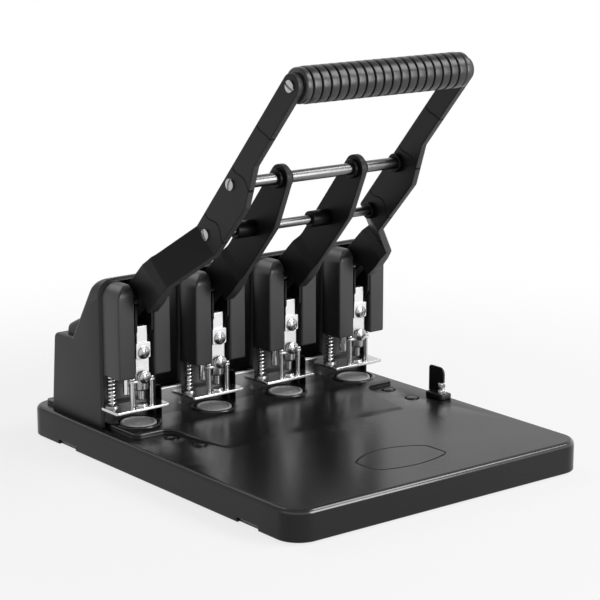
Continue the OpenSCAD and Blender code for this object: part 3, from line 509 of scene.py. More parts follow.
# Back stops: three drawn steel strips with a round top, pressed into the base between the heads.
# The edge of the paper stack meets their front face.
def plate(outline, low, high, edge, holes=(), lines=(), steps=6):
    """Plate with round rims, its outline in a plane and its thickness from low to high.

    Rim: P(u, v) = outline(u) - inset(v) * normal(u) at height(v), a quarter circle at each face. A hole's
    outline runs the other way round, so that its normals point into the hole.
    """
    q = np.linspace(0, np.pi / 2, steps + 1)
    hold = min(0.3, edge)
    inset = np.concatenate([[edge + hold], edge * (1 - np.sin(q))])
    drop = np.concatenate([[0], edge * (1 - np.cos(q))])
    offsets = np.concatenate([-inset, -inset[::-1]])
    heights = np.concatenate([high - drop, (low + drop)[::-1]])
    rims = [band(loop, normal, offsets, heights) for loop, normal in [outline, *holes]]
    return [*map(grid, rims), filled([rim[0, :, :2] for rim in rims], high, True, lines),
            filled([rim[-1, :, :2] for rim in rims], low, False, lines)]


def hole(x, y, radius, steps=32):
    """Outline of a round hole, run clockwise, with normals towards its middle."""
    loop, normal = circle(x, y, radius, steps)
    return loop[::-1], -normal[::-1]


def seen_from_side(parts, x=0.0, y=0.0, z=0.0):
    """Turns plates drawn as (Y, Z, X) into place."""
    return [(points[:, [2, 0, 1]] + [x, y, z], faces) for points, faces in parts]


def seen_from_front(parts, x=0.0, y=0.0, z=0.0):
    """Turns plates drawn as (X, Z, -Y) into place."""
    return [(points[:, [0, 2, 1]] * [1, -1, 1] + [x, y, z], faces) for points, faces in parts]


def moved(parts, x=0.0, y=0.0, z=0.0):
    """Shifts surfaces."""
    return [(points + [x, y, z], faces) for points, faces in parts]


def rectangle(x0, y0, x1, y1, radius, steps=6):
    """Rounded rectangle between two corners."""
    return filleted(rectangle_corners(x0, y0, x1, y1), radius, steps)


stop_low, stop_high = box_mm("back_stops")
stop_w = PITCH - (box_mm("head_cover_1")[1][0] - box_mm("head_cover_1")[0][0]) - 0.6
stop_outline = filleted(rectangle_corners(stop_low[1], deck_z - 2, stop_high[1], stop_high[2]),
                        [1.2, 1.2, 4, 4], 10)
stop_strip = plate(stop_outline, -stop_w / 2, stop_w / 2, 0.6)
put("stop_strips", [part for x in (-PITCH, 0, PITCH) for part in seen_from_side(stop_strip, x)],
    bright_steel("strip steel", 0.12, 0.14, ACROSS_X, 0.3), "stand", ["back_stops"])


# Head frames: four black castings with two cheeks, a leg and a guide block for the slide between them.
# They are powder coated and stand on the platform, screwed from below.
def powder_coat(name, level, gloss):
    """Black powder coat: orange-peel, sparse specks and a cloudy gloss."""
    material, shader, place = finish(name, {"Specular IOR Level": 0.5})
    peel = noise(place, 850, 2)
    speck = rising(noise(place, 2400, 1), 0.72, 0.8)
    cloud = noise(place, 18, 4)
    feed(shader, {
        "Base Color": mixed(0.35 * cloud + 0.25 * speck, grey(level, 1.04), grey(level * 1.9, 1.02)),
        "Roughness": gloss + 0.14 * (cloud - 0.5),
        "Normal": bumped(peel, 0.00003),
    })
    return material


frame_low, frame_high = box_mm("head_frame_1")
cheek_z = float(box_mm("spring_1")[1][2])
slot_half, cheek_half = 10.0, (frame_high[0] - frame_low[0]) / 2
front_y, leg_y, rear_y = frame_low[1] - row_y, 25.5, frame_high[1] - row_y
cheek_top, guide_top, guide_y = frame_high[2], 104.0, 6.6
sunk = deck_z - 4.2
SEAM_Y, SHOULDER_R, BROW_R, CORNER_R, LIP_R = 20.0, 13.0, 9.5, 1.6, 0.8


def drawn_in(z, radius):
    """How far a round upper edge has come in at height z: radius - sqrt(radius ** 2 - over ** 2)."""
    over = np.clip(z - cheek_top + radius, 0, radius)
    return radius - np.sqrt(radius ** 2 - over ** 2)


def cheek_block(side):
    """Upper block of a cheek: plan outlines stacked from the top down, P(u, v) = outline(u, insets(z(v))).

    The outer side is drawn in by the shoulder, the front by the brow, and the lower rim is a quarter circle.
    """
    a, q = np.linspace(np.pi / 2, 0, 19), np.linspace(0, np.pi / 2, 6)
    heights = np.concatenate([cheek_top - SHOULDER_R * (1 - np.sin(a)), cheek_z + CORNER_R * (1 - np.sin(q))])
    unders = np.concatenate([np.zeros(len(a)), CORNER_R * (1 - np.cos(q))])
    rows = []
    for z, under in zip(heights, unders):
        outer = cheek_half - drawn_in(z, SHOULDER_R) - under
        inner, rear = slot_half + drawn_in(z, LIP_R) + under, SEAM_Y + 0.6 - drawn_in(z, LIP_R) - under
        x0, x1 = sorted((side * inner, side * outer))
        corner_r = min(CORNER_R, 0.45 * (outer - inner)) - 0.9 * under
        loop = filleted(rectangle_corners(x0, front_y + drawn_in(z, BROW_R) + under, x1, rear), corner_r, 6)[0]
        rows.append(np.column_stack([loop, np.full(len(loop), z)]))
    block = np.stack(rows)
    return [grid(block), filled([block[0, :, :2]], cheek_top), filled([block[-1, :, :2]], cheek_z, False)]


leg_outline = filleted([(17, cheek_z + 0.2), (leg_y, cheek_z + 0.2), (leg_y, sunk), (rear_y, sunk),
                        (rear_y, cheek_top - 20), (30, cheek_top - 18), (17, cheek_top - 18)], 1.2)
block_outline = filleted([(guide_y, cheek_z), (leg_y, cheek_z), (leg_y, sunk), (rear_y - 0.5, sunk),
                          (rear_y - 0.5, cheek_top - 28), (rear_y - 3, cheek_top - 28), (rear_y - 3, guide_top),
                          (guide_y, guide_top)], 1.2)
frame_black = powder_coat("frame powder coat", 0.026, 0.36)
for i, x in head_x.items():
    put(f"cheek_casting_{i}", [
        *moved([*cheek_block(-1), *cheek_block(1)], x, row_y),
        *seen_from_side(plate(leg_outline, 0.3 - cheek_half, -slot_half, 0.8), x, row_y),
        *seen_from_side(plate(leg_outline, slot_half, cheek_half - 0.3, 0.8), x, row_y),
        *seen_from_side(plate(block_outline, -slot_half - 0.5, slot_half + 0.5, 0.7), x, row_y),
    ], frame_black, "stand", [f"head_frame_{i}"])


# Head covers: black plastic hoods over the rear of the frames, with a slope down to a ledge and a hump.
# Each is a thin moulded shell, open at the front and below, held by one small screw on top.
cover_low, cover_high = box_mm("head_cover_1")
cover_half, cover_back, cover_top = (cover_high[0] - cover_low[0]) / 2, cover_high[1] - row_y, cover_high[2]
SHELL, HOOD_R, HOOD_STEPS, SLOPE_ROWS, SOFT = 2.0, 3.0, 8, 40, 0.9
LIP_IN, LIP_Y = 2.2, 2.6
crest_z, hood_z = cover_top + SOFT * np.log(2), base_top + 0.2
HOOD_SHOULDER = SHOULDER_R + cover_half - cheek_half
ledge_z = 100.0


def hood_skin():
    """Outer skin of a hood: P(u, v) follows the rear, slope and crown with u and crosses the hood with v.

    The height is the soft lower value of the side outline and the shoulder arch, and flat sides close v.
    """
    corners = [(cover_back, hood_z), (cover_back - 6.4, ledge_z - 0.8), (63.8, ledge_z + 0.4),
               (27.0, crest_z), (SEAM_Y, crest_z), (SEAM_Y, hood_z)]
    loop, normal = filleted(corners, [0.05, 5, 5, 10, 0.05, 0.05], HOOD_STEPS)
    crown = 3 * (HOOD_STEPS + 1)
    share = np.linspace(0, 1, SLOPE_ROWS + 2)[1:-1, None]
    loop = np.insert(loop, crown, loop[crown - 1] + share * (loop[crown] - loop[crown - 1]), 0)
    normal = np.insert(normal, crown, np.broadcast_to(normal[crown], (SLOPE_ROWS, 2)), 0)
    path = slice(HOOD_STEPS, 4 * (HOOD_STEPS + 1) + SLOPE_ROWS + 1)
    q = np.linspace(0, np.pi / 2, 7)
    flat_half = cover_half - HOOD_SHOULDER
    b = np.linspace(np.arcsin((cover_half - HOOD_R - flat_half) / HOOD_SHOULDER), 0, 10)[1:]
    inset = np.concatenate([[HOOD_R + 0.3], HOOD_R * (1 - np.sin(q)), np.zeros(len(b))])
    place = np.concatenate([[cover_half], cover_half - HOOD_R * (1 - np.cos(q)),
                            flat_half + HOOD_SHOULDER * np.sin(b)])
    rim = band(loop[path], normal[path], np.concatenate([-inset, -inset[::-1]]),
               np.concatenate([place, -place[::-1]]))
    over = np.clip(np.abs(rim[..., 2]) - flat_half, 0, HOOD_SHOULDER)
    arch = crest_z - HOOD_SHOULDER + np.sqrt(HOOD_SHOULDER ** 2 - over ** 2)
    rim[..., 1] = -SOFT * np.logaddexp(-rim[..., 1] / SOFT, -arch / SOFT)
    rim[[0, -1], :, :2] = rim[[1, -2], :, :2] - normal[path]
    side = np.concatenate([rim[0, :, :2], corners[-1:]])
    return [grid(rim, False), filled([side], cover_half), filled([side], -cover_half, False),
            grid(hood_lip(rim), False)]


def hood_lip(rim):
    """Sloped front lip of a hood: P(u, v) = front(u) - inset(v) * out(u), drawn forwards to the cheek with v."""
    front = np.concatenate([[(SEAM_Y, hood_z, cover_half)], rim[:, -1], [(SEAM_Y, hood_z, -cover_half)]])
    core = np.clip(front[:, 2], HOOD_SHOULDER - cover_half, cover_half - HOOD_SHOULDER)
    above = np.maximum(front[:, 1] - crest_z + HOOD_SHOULDER, 0)
    out = np.column_stack([np.zeros(len(front)), above, front[:, 2] - core])
    out /= np.linalg.norm(out, axis=1, keepdims=True)
    inset = np.array([0, 0.15, LIP_IN])[:, None, None]
    ahead = np.array([0, 0.6, LIP_Y])[:, None, None] * np.array([1.0, 0, 0])
    return (front - inset * out - ahead).transpose(1, 0, 2)


hump_outline = filleted([(46, ledge_z - 6), (83, ledge_z - 6), (81, ledge_z + 8), (66, ledge_z + 15.2),
                         (48, 121)], [4.6, 4.6, 7, 8, 5], 8)
cover_black = moulded_plastic("cover black", 0.018, 0.42, shine=0.32)
for i, x in head_x.items():
    hood = put(f"rear_hood_{i}", seen_from_side(hood_skin(), x, row_y), cover_black, "stand",
               [f"head_cover_{i}"], sharp=32)
    shell = hood.modifiers.new("wall", "SOLIDIFY")
    shell.thickness = SHELL * MM
    shell.offset = -1
    rim = hood.modifiers.new("edge", "BEVEL")
    rim.width = 0.25 * MM
    rim.segments = 2
    rim.limit_method = "ANGLE"
    rim.angle_limit = np.radians(50)
    put(f"hood_hump_{i}", seen_from_side(plate(hump_outline, 6 - cover_half, cover_half - 6, 4.2), x, row_y),
        cover_black, "stand", [f"head_cover_{i}"])


# Cover screws: one small zinc-plated steel screw with a cross recess in the top of each cover.
# The head is cold formed, and it clamps the hood to the frame below.
def screw_head(radius, height, dome, slot_w, slot_l, depth, rows=18, steps=96):
    """Screw head on its seat at z = 0: polar grid z(r, u) = dome(r) - depth * recess(r, u), then a round rim.

    dome(r) = height - dome * (r / radius) ** 2. The recess is one slot, or with slot_l under the radius a cross.
    The columns crowd at the quarter turns, where the recess has its edges.
    """
    turn = np.arange(steps) * 2 * np.pi / steps
    u = turn - 0.2 * np.sin(4 * turn)
    r = radius * np.linspace(0, 1, rows)[:, None]
    along, across = np.abs(r * np.cos(u)), np.abs(r * np.sin(u))
    soft = 0.12 * slot_w
    slot = np.clip((slot_w / 2 - across) / soft + 0.5, 0, 1) * np.clip((slot_l - along) / soft + 0.5, 0, 1)
    if slot_l < radius:
        slot = np.maximum(slot, np.clip((slot_w / 2 - along) / soft + 0.5, 0, 1)
                          * np.clip((slot_l - across) / soft + 0.5, 0, 1))
    rim_z = height - dome
    z = height - dome * (r / radius) ** 2 - depth * slot
    q = np.linspace(0, np.pi / 2, 5)[1:]
    rim_r = radius + 0.3 * np.sin(q)
    wall_r = np.concatenate([rim_r, [radius + 0.3, 0]])[:, None]
    wall_z = np.concatenate([rim_z - 0.3 * (1 - np.cos(q)), [0, 0]])[:, None] - depth * slot[-1] * 0.8
    wall_z[-2:] = 0
    radii = np.concatenate([np.broadcast_to(r, z.shape), np.broadcast_to(wall_r, wall_z.shape)])
    return grid(np.stack([radii * np.cos(u), radii * np.sin(u), np.concatenate([z, wall_z])], -1))


CAP_SUNK = 1.2
cap_x, cap_y = -13.2, SEAM_Y + 3.2
cap_head = screw_head(2.2, box_mm("cover_screws")[1][2] - cover_top + CAP_SUNK, 0.7, 0.7, 1.6, 0.8)
put("hood_screws", [part for x in head_x.values()
                    for part in moved([cap_head], x + cap_x, row_y + cap_y, cover_top - CAP_SUNK)],
    screw_zinc, "stand", ["cover_screws"])


# Pins of a head: ground steel pivot pins in the cheeks, guide posts for the plates, and a short stop pin
# with a round end under each frame.
ground_steel = bright_steel("ground steel", 0.62, 0.16, (1800, 1800, 1800))
dark_pins = bright_steel("dark pins", 0.16, 0.3, (1800, 1800, 1800))
coat(ground_steel, "pivot_pins")
coat(dark_pins, "guide_posts", "drive_pins")
pin_low, pin_high = box_mm("stop_pins")
pin_x, pin_y, pin_r = -7.8, 10.6, 3
pin_profile = rounded_profile([(0, pin_low[2]), (pin_r, pin_low[2]), (pin_r, pin_high[2]), (0, pin_high[2])],
                              [1.6, 0.4])
put("stop_studs", [grid(turned(pin_profile, x + pin_x, row_y + pin_y)) for x in head_x.values()],
    bright_steel("stud steel", 0.82, 0.14, (1500, 1500, 300)), "stand", ["stop_pins"])


# Slides: bright zinc-plated steel, each with a narrow upper bar, a clamp plate, a cross bar and a capsule
# that grips the punch. Two domed screws hold the clamp and the punch.
slide_low, slide_high = box_mm("slide_1")
cross_z, body_top, bar_top = 69.8, 105.0, slide_high[2]
holder_z, holder_r, holder_top = slide_low[2], 6.2, 80.0
post_x, post_y = 9.6, -1.5
bar = plate(rectangle(-5.3, body_top - 2, 5.3, bar_top, 1.1), -2.7, 3.0, 0.45)
body = plate(rectangle(-6.8, cross_z + 0.2, 6.8, body_top, 1.1), -2.8, 3.0, 0.5)
clamp = plate(rectangle(-7.3, body_top - 14.2, 7.3, body_top - 0.2, 1.2), 2.6, 5.0, 0.45)
eye_r = 2.9
cross_outline = rectangle(-post_x - eye_r, post_y - eye_r, post_x + eye_r, post_y + eye_r, 2.85)
cross_bar = plate(cross_outline, cross_z, cross_z + 2.2, 0.4,
                  [hole(-post_x, post_y, 2.05), hole(post_x, post_y, 2.05)])
holder = turned(rounded_profile([(3.05, 71.5), (3.05, holder_z), (holder_r, holder_z), (holder_r, holder_top),
                                 (0, holder_top)], [0.4, 1.8, 3.6]), 0, 0, 64)
slide_head = screw_head(5.4, 3.0, 1.7, 1.5, 3.2, 1.4)
clamp_screw_z, punch_screw_z, clamp_front = 96.2, 74.6, 5.0
slide_zinc = bright_steel("slide zinc", 0.68, 0.42, UPRIGHT)
holder_zinc = bright_steel("holder zinc", 0.36, 0.26, UPRIGHT)
yoke_steel = painted_sheet("yoke steel", 0.008, 0.15)
punch_steel = bright_steel("punch steel", 0.4, 0.2, (2200, 2200, 120))
dome_zinc = bright_steel("dome zinc", 0.5, 0.2, (700, 700, 700))
for i, x in head_x.items():
    unit = f"punch_unit_{i}"
    put(f"zinc_slide_{i}", [*seen_from_front([*bar, *body, *clamp], x, row_y),
                            *moved(cross_bar, x, row_y)],
        slide_zinc, unit, [f"slide_{i}"])
    put(f"punch_holder_{i}", moved([grid(holder)], x, row_y), holder_zinc, unit, [f"slide_{i}"])
    put(f"domed_screws_{i}", [*seen_from_front([slide_head], x, row_y - clamp_front, clamp_screw_z),
                              *seen_from_front([slide_head], x, row_y - holder_r, punch_screw_z)],
        dome_zinc, unit, [f"slide_screws_{i}"])
    coat(yoke_steel, f"yoke_{i}")
    coat(punch_steel, f"punch_{i}")


# Hold-down plates: bright pressed steel with a flanged bush round the punch and two headed posts that hang
# in the cross bar. A coil spring on the guide post pushes each plate down on the paper.
plate_low, plate_high = box_mm("hold_plate_1")
plate_z, plate_top = plate_low[2], plate_low[2] + 2.6
plate_left, plate_right = plate_low[0] - head_x[1], plate_high[0] - head_x[1]
plate_front, plate_rear = plate_low[1] - row_y, SEAM_Y - 0.5
spring_x, spring_y, flange_top, sleeve_top = -20.0, 15.0, plate_top + 1.5, 60.1
sheet = plate(rectangle(plate_left, plate_front, plate_right, plate_rear, 1.6), plate_z, plate_top, 0.55,
              [hole(0, 0, 4.2), hole(spring_x, spring_y, 1.95)])
bush_top, brim_top = plate_top + 3.2, plate_top + 1.2
bush = turned(rounded_profile([(3.4, bush_top), (3.4, plate_z), (4.3, plate_z), (4.3, plate_top), (7.2, plate_top),
                               (7.2, brim_top), (5.2, brim_top), (5.2, bush_top), (3.4, bush_top)],
                              [0.2, 0.2, 0.2, 0.3, 0.4, 0.5, 0.5]), 0, 0, 56)
post_foot, post_top = plate_z + 0.2, cross_z + 2.5
post = turned(rounded_profile([(0, post_foot), (2, post_foot), (2, post_top), (2.7, post_top), (2.7, post_top + 2),
                               (0, post_top + 2)], [0.1, 0.1, 0.3, 0.9]), 0, 0, 40)
flange = turned(rounded_profile([(1.55, sleeve_top), (1.55, plate_top - 1), (6.3, plate_top - 1), (6.3, flange_top),
                                 (2.15, flange_top), (2.15, sleeve_top), (1.55, sleeve_top)],
                                [0.1, 0.2, 0.5, 0.3, 0.2]), spring_x, spring_y, 48)
WIRE_R, COIL_R, CURLS = 0.8, 3.1, 8


def coil_spring():
    """Spring wire: P(u, v) = centre(u) + wire radius * (cos v * out(u) + sin v * side(u)).

    The ends close to a point. The centre climbs a helix whose pitch eases to flat in the first and last half curl.
    """
    curl = np.linspace(0, CURLS, CURLS * 30 + 1)
    ease = np.clip(np.minimum(curl, CURLS - curl) / 0.8, 0, 1)
    climb = np.cumsum(0.35 + 0.65 * ease * ease * (3 - 2 * ease))
    climb = (climb - climb[0]) / (climb[-1] - climb[0])
    low, high = flange_top + WIRE_R, cheek_z - WIRE_R
    angle = 2 * np.pi * curl
    out = np.stack([np.cos(angle), np.sin(angle), np.zeros_like(angle)], 1)
    centre = COIL_R * out + np.column_stack([np.zeros((len(curl), 2)), low + (high - low) * climb])
    ahead = np.gradient(centre, axis=0)
    side = np.cross(out, ahead)
    side /= np.linalg.norm(side, axis=1, keepdims=True)
    v = np.arange(10) * 2 * np.pi / 10
    thick = np.full(len(curl), WIRE_R)
    thick[[0, -1]] = 0
    tube = centre[:, None] + thick[:, None, None] * (np.cos(v)[None, :, None] * out[:, None]
                                                     + np.sin(v)[None, :, None] * side[:, None])
    return grid(tube + np.array([spring_x, spring_y, 0]))


plate_zinc = bright_steel("plate zinc", 0.66, 0.24, ACROSS_X)
sleeve_steel = bright_steel("sleeve steel", 0.4, 0.3, UPRIGHT)
wire_steel = bright_steel("spring wire", 0.8, 0.2, (600, 600, 600))
for i, x in head_x.items():
    hold = f"hold_down_{i}"
    put(f"paper_plate_{i}", moved([*sheet, grid(bush), *moved([grid(post)], -post_x, post_y),
                                   *moved([grid(post)], post_x, post_y)], x, row_y),
        plate_zinc, hold, [f"hold_plate_{i}"])
    put(f"plate_sleeve_{i}", moved([grid(flange)], x, row_y), sleeve_steel, hold,
        [f"hold_plate_{i}"])
    spring = put(f"coil_{i}", moved([coil_spring()], x, row_y), wire_steel, None,
                 [f"spring_{i}"])
    at = np.array([x + spring_x, row_y + spring_y]) * MM
    flange_top * MM
    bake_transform(spring)


# Lever arms: four black powder-coated steel plates on thick hubs. The outer two are cranked inwards above
# the heads and carry the grip, and the inner two end round the upper cross rod.
lever_joint = next(joint for joint in frame["joints"] if joint["name"] == "lever_press")
pivot_y, pivot_z = np.array(lever_joint["pos_m"][1:]) / MM
LEAN = np.radians(41.3)
HUB_END, BEND_IN, BEND_OUT, BEND_R, JOGGLE = 54.0, 63.0, 100.0, 0.8, 31.0
# The last value is the paler grey painted on the arms' narrow rims as painted light.
HUB_HALF, ARM_HALF, LIT_RIM_LEVEL = 5.0, 3.0, 0.045
UPPER, LOWER, GRIP = (164.0, -6.0), (105.5, -10.6), (282.0, -7.4)
WAVES = ((121.7, -3.4), (179.3, -2.4), (229.3, -2.0))
hub_corners = [(66, 3), (HUB_END - 1, 5.6), (27, 8.2), (-12, 12), (-12, -12.2), (23, -15), (29, -16),
               (27, -27.6), (42, -29.6)]
hub_radii = [40, 30, 20, 11.8, 11.8, 1.5, 2, 1.6, 20]
outer_corners = [(BEND_OUT, -30.0), (164, -32), (199, GRIP[1] - 10.2), (GRIP[0] + 10.2, GRIP[1] - 10.2),
                 (GRIP[0] + 10.2, GRIP[1] + 10.2)]
inner_corners = [(127.5, -30.0), (176, -14.8), (176, 6)]
BENDS = [at + step for at in (HUB_END, BEND_IN, BEND_OUT)
         for step in (-BEND_R - 0.7, -BEND_R, -BEND_R / 2, 0, BEND_R / 2, BEND_R, BEND_R + 0.7)]


def ramped(s, at):
    """Slope that goes from 0 to 1 across a bend, and its running sum along the arm."""
    start, end = at - BEND_R, at + BEND_R
    slope = np.clip((s - start) / (end - start), 0, 1)
    return slope, slope ** 2 * (end - start) / 2 + np.maximum(s - end, 0)


def on_lever(points, x):
    """Lever axes to the row frame: s along the arm, t across it to the rear, w sideways to -X."""
    s, t, w = points.T
    return np.column_stack([x - w, pivot_y + t * np.cos(LEAN) - s * np.sin(LEAN),
                            pivot_z + t * np.sin(LEAN) + s * np.cos(LEAN)])


def cranked(points, shift):
    """Bends a flat arm of half thickness 1: C(s) + w * half(s) * N(s), with the crank as the centre line C."""
    s, t, w = points.T
    hub_run = ramped(s, HUB_END)[1]
    in_slope, in_run = ramped(s, BEND_IN)
    out_slope, out_run = ramped(s, BEND_OUT)
    half = HUB_HALF - (HUB_HALF - ARM_HALF) / (BEND_IN - HUB_END) * (hub_run - in_run)
    rate = shift / (BEND_OUT - BEND_IN)
    slope = rate * (in_slope - out_slope)
    length = np.sqrt(1 + slope ** 2)
    return np.column_stack([s - w * half * slope / length, t, rate * (in_run - out_run) + w * half / length])


def thickness(w):
    """Height in a plate of half thickness 1 whose rims are 0.9 deep, with the rims drawn thin again."""
    rim, thin = 0.9, 0.3
    deep = np.clip(1 - np.abs(w), 0, rim) * thin / rim
    return np.sign(w) * np.where(np.abs(w) > 1 - rim, 1 - deep, np.abs(w) * (1 - thin) / (1 - rim))


def lever_arm(corners, radii, shift):
    """An arm: a plate with round rims whose faces are cut along the bend lines, then cranked."""
    loop, normal = crossed(*filleted(corners, radii, 9), 0, BENDS)
    pairs = [np.flatnonzero(np.abs(loop[:, 0] - at) < 1e-6) for at in BENDS]
    lines = [(int(pair[0]), int(pair[1])) for pair in pairs if len(pair) == 2]
    flat = plate((loop, normal), -1, 1, 0.9, lines=lines)
    return [(cranked(np.column_stack([points[:, :2], thickness(points[:, 2])]), shift), faces)
            for points, faces in flat]


def lever_axes(place):
    """Distance along the lever from its pivot, and across it to the rear, in metres."""
    turn = place.node("Mapping", {"Vector": place, "Location": (0, -pivot_y * MM, -pivot_z * MM)})
    turn = turn.node("Mapping", {"Vector": turn, "Rotation": (-LEAN, 0, 0)})
    return turn.node("SeparateXYZ", {0: turn}, output="Z"), turn.node("SeparateXYZ", {0: turn}, output="Y")


def lit_rim_share(place, along):
    """1 on the narrow rims of an arm above its hub, where a paler grey is painted as painted light, and 0 on its
    broad faces.
    """
    normal = place.node("NewGeometry", output="Normal")
    sideways = place.node("SeparateXYZ", {0: normal}, output="X")
    narrow = 1 - rising(place.node("Math", {0: sideways}, operation="ABSOLUTE"), 0.4, 0.85)
    return narrow * rising(along, 0.3 * HUB_END * MM, HUB_END * MM)


def arm_powder(name, level, gloss, shine):
    """Black powder coat of an inner arm: orange-peel, cloudy gloss, and narrow rims painted paler as painted light.
    """
    material, shader, place = finish(name, {"Specular IOR Level": shine})
    peel = noise(place, 850, 2)
    cloud = noise(place, 18, 4)
    rim = lit_rim_share(place, lever_axes(place)[0])
    feed(shader, {
        # Painted light: the narrow rims above the hub are painted a paler grey than the broad faces.
        "Base Color": mixed(rim, mixed(cloud, grey(level), grey(level * 1.5)), grey(LIT_RIM_LEVEL)),
        "Roughness": gloss + 0.12 * (cloud - 0.5) - 0.08 * rim,
        "Normal": bumped(peel, 0.00003),
    })
    return material


def engraved_powder(name, level, gloss, shine):
    """Powder coat with three fine pressed waves across each outer arm, s = middle + swing * sin(t / wave), their
    grooves painted near black as painted shade, and narrow rims painted paler as painted light.
    """
    material, shader, place = finish(name, {"Specular IOR Level": shine})
    along, across = lever_axes(place)
    wave = across.node("Math", {0: (across + 0.009) * (2 * np.pi / 0.03)}, operation="SINE")
    line = None
    for middle, swing in WAVES:
        far = along - middle * MM - swing * MM * wave
        near = 1 - rising(far.node("Math", {0: far}, operation="ABSOLUTE"), 0.0005, 0.0011)
        line = near if line is None else line.node("Math", {0: line, 1: near}, operation="MAXIMUM")
    peel = noise(place, 850, 2)
    cloud = noise(place, 18, 4)
    rub = rising(noise(place, 60, 5, 0.65), 0.6, 0.75)
    rim = lit_rim_share(place, along)
    # Painted light: the narrow rims above the hub are painted a paler grey than the broad faces.
    powder = mixed(rim, mixed(0.35 * cloud, grey(level, 1.0), grey(level * 1.9, 0.97)), grey(LIT_RIM_LEVEL))
    feed(shader, {
        # Painted shade: the pressed wave grooves are painted near black. Their bump is the real groove.
        "Base Color": mixed(line, powder, grey(0.002)),
        "Roughness": gloss + 0.12 * (cloud - 0.5) - 0.08 * rub + 0.3 * line,
        "Normal": bumped(0.1 * peel - line, 0.0003),
    })
    return material


arm_black = engraved_powder("arm powder coat", 0.009, 0.42, 0.2)
inner_black = arm_powder("inner arm powder coat", 0.007, 0.45, 0.12)
for i, x in head_x.items():
    outer = i in (1, 4)
    shift = {1: -JOGGLE, 4: JOGGLE}.get(i, 0)
    corners = [*(outer_corners if outer else inner_corners), *hub_corners]
    radii = [*([60, 6, 6, 10.1, 10.1] if outer else [12, 11.8, 11.8]), *hub_radii]
    put(f"arm_{i}", [(on_lever(points, x), faces) for points, faces in lever_arm(corners, radii, shift)],
        arm_black if outer else inner_black, "press_lever", [f"lever_{i}"])


# Cross rods: two polished steel rods through the inner arms, screwed to the outer arms at their ends,
# with black plastic rings against the arms' faces.
def along_rod(profile, s, t, steps=48, x=0.0):
    """Turned surface about a rod's axis: radius(v) round the axis, place(v) along it."""
    points = turned(profile, 0, 0, steps).reshape(-1, 3)
    rows, columns = len(profile), steps
    placed = on_lever(np.column_stack([points[:, 0] + s, points[:, 1] + t, points[:, 2]]), x)
    return grid(placed.reshape(rows, columns, 3))


def polished_rod(name, level):
    """Dark polished steel with fine turning lines round it and faint handling marks."""
    material, shader, place = finish(name, {"Metallic": 1.0})
    rings = noise(stretched(place, (3500, 40, 40)), 1.0, 2)
    marks = rising(noise(place, 90, 5, 0.7), 0.55, 0.8)
    feed(shader, {
        "Base Color": mixed(marks, grey(level, 1.02), grey(level * 0.7)),
        "Roughness": 0.3 + 0.1 * (rings - 0.5) + 0.12 * marks,
        "Normal": bumped(rings, 0.000008),
    })
    return material


rod_half = box_mm("upper_rod")[1][0]
rod_steel = polished_rod("rod steel", 0.2)
for name, (s, t), radius, node in (("polished_rod_upper", UPPER, 5.0, "upper_rod"),
                                   ("polished_rod_lower", LOWER, 4.0, "lower_rod")):
    profile = rounded_profile([(0, -rod_half), (radius, -rod_half), (radius, rod_half), (0, rod_half)],
                              [0.5, 0.5])
    put(name, [along_rod(profile, s, t)], rod_steel, "press_lever", [node])

COLLAR_L, SLEEVE_L, COLLAR_WALL = 4.0, 20.0, 3.2
collar_parts = []
for (s, t), radius, left_l in ((UPPER, 5.05, COLLAR_L), (LOWER, 4.05, SLEEVE_L)):
    rings = [(rod_half - COLLAR_L / 2, COLLAR_L), (COLLAR_L / 2 - rod_half, COLLAR_L)]
    for i in (2, 3):
        rings += [(head_x[i] + ARM_HALF + COLLAR_L / 2, COLLAR_L), (head_x[i] - ARM_HALF - left_l / 2, left_l)]
    outer_r = radius + COLLAR_WALL - 0.05
    for x, length in rings:
        low, high = -length / 2, length / 2
        ring = rounded_profile([(radius, 0), (radius, low), (outer_r, low), (outer_r, high), (radius, high),
                                (radius, 0)], [0.3, 0.9, 0.9, 0.3])
        collar_parts.append(along_rod(ring, s, t, 40, x))
collar_black = moulded_plastic("collar black", 0.004, 0.34, shine=0.12)
put("rod_rings", collar_parts, collar_black, "press_lever", ["rod_collars"])


# Arm screws: slotted zinc-plated steel pan screws through the outer arms into the rods and the grip tube.
# They are cold formed, and each was left at its own angle when it was tightened.
pan_head = screw_head(4.7, 2.5, 0.9, 1.8, 9.0, 1.4)
arm_outer = box_mm("arm_screws")[1][0] - 2.4
pan_parts = []
for turn, (s, t) in enumerate((UPPER, LOWER, GRIP)):
    points, faces = pan_head
    angle = np.radians(25 + 40 * turn)
    a = points[:, 0] * np.cos(angle) - points[:, 1] * np.sin(angle)
    b = points[:, 0] * np.sin(angle) + points[:, 1] * np.cos(angle)
    left = on_lever(np.column_stack([s + a, t + b, points[:, 2] + arm_outer]), 0)
    right = on_lever(np.column_stack([s + a, t - b, -points[:, 2] - arm_outer]), 0)
    pan_parts += [(left, faces), (right, faces)]
put("pan_screws", pan_parts, bright_steel("pan zinc", 0.46, 0.2, (700, 700, 700)), "press_lever",
    ["arm_screws"])


# Grip: a glossy black ribbed sleeve on a steel tube, with a smooth ring at each end.
# The ribs are turned into the sleeve, close together, with narrow grooves between them.
def grip_plastic(name):
    """Glossy black plastic, hazed by handling along the ribs."""
    material, shader, place = finish(name, {"Specular IOR Level": 0.55})
    haze = noise(stretched(place, (90, 260, 260)), 1.0, 5, 0.65)
    fine = noise(place, 1300, 3, 0.6)
    feed(shader, {
        "Base Color": mixed(rising(haze, 0.35, 0.8), grey(0.012, 1.1), grey(0.022, 1.1)),
        "Roughness": 0.3 + 0.05 * (haze - 0.5) + 0.04 * (fine - 0.5),
        "Normal": bumped(fine, 0.000003),
    })
    return material


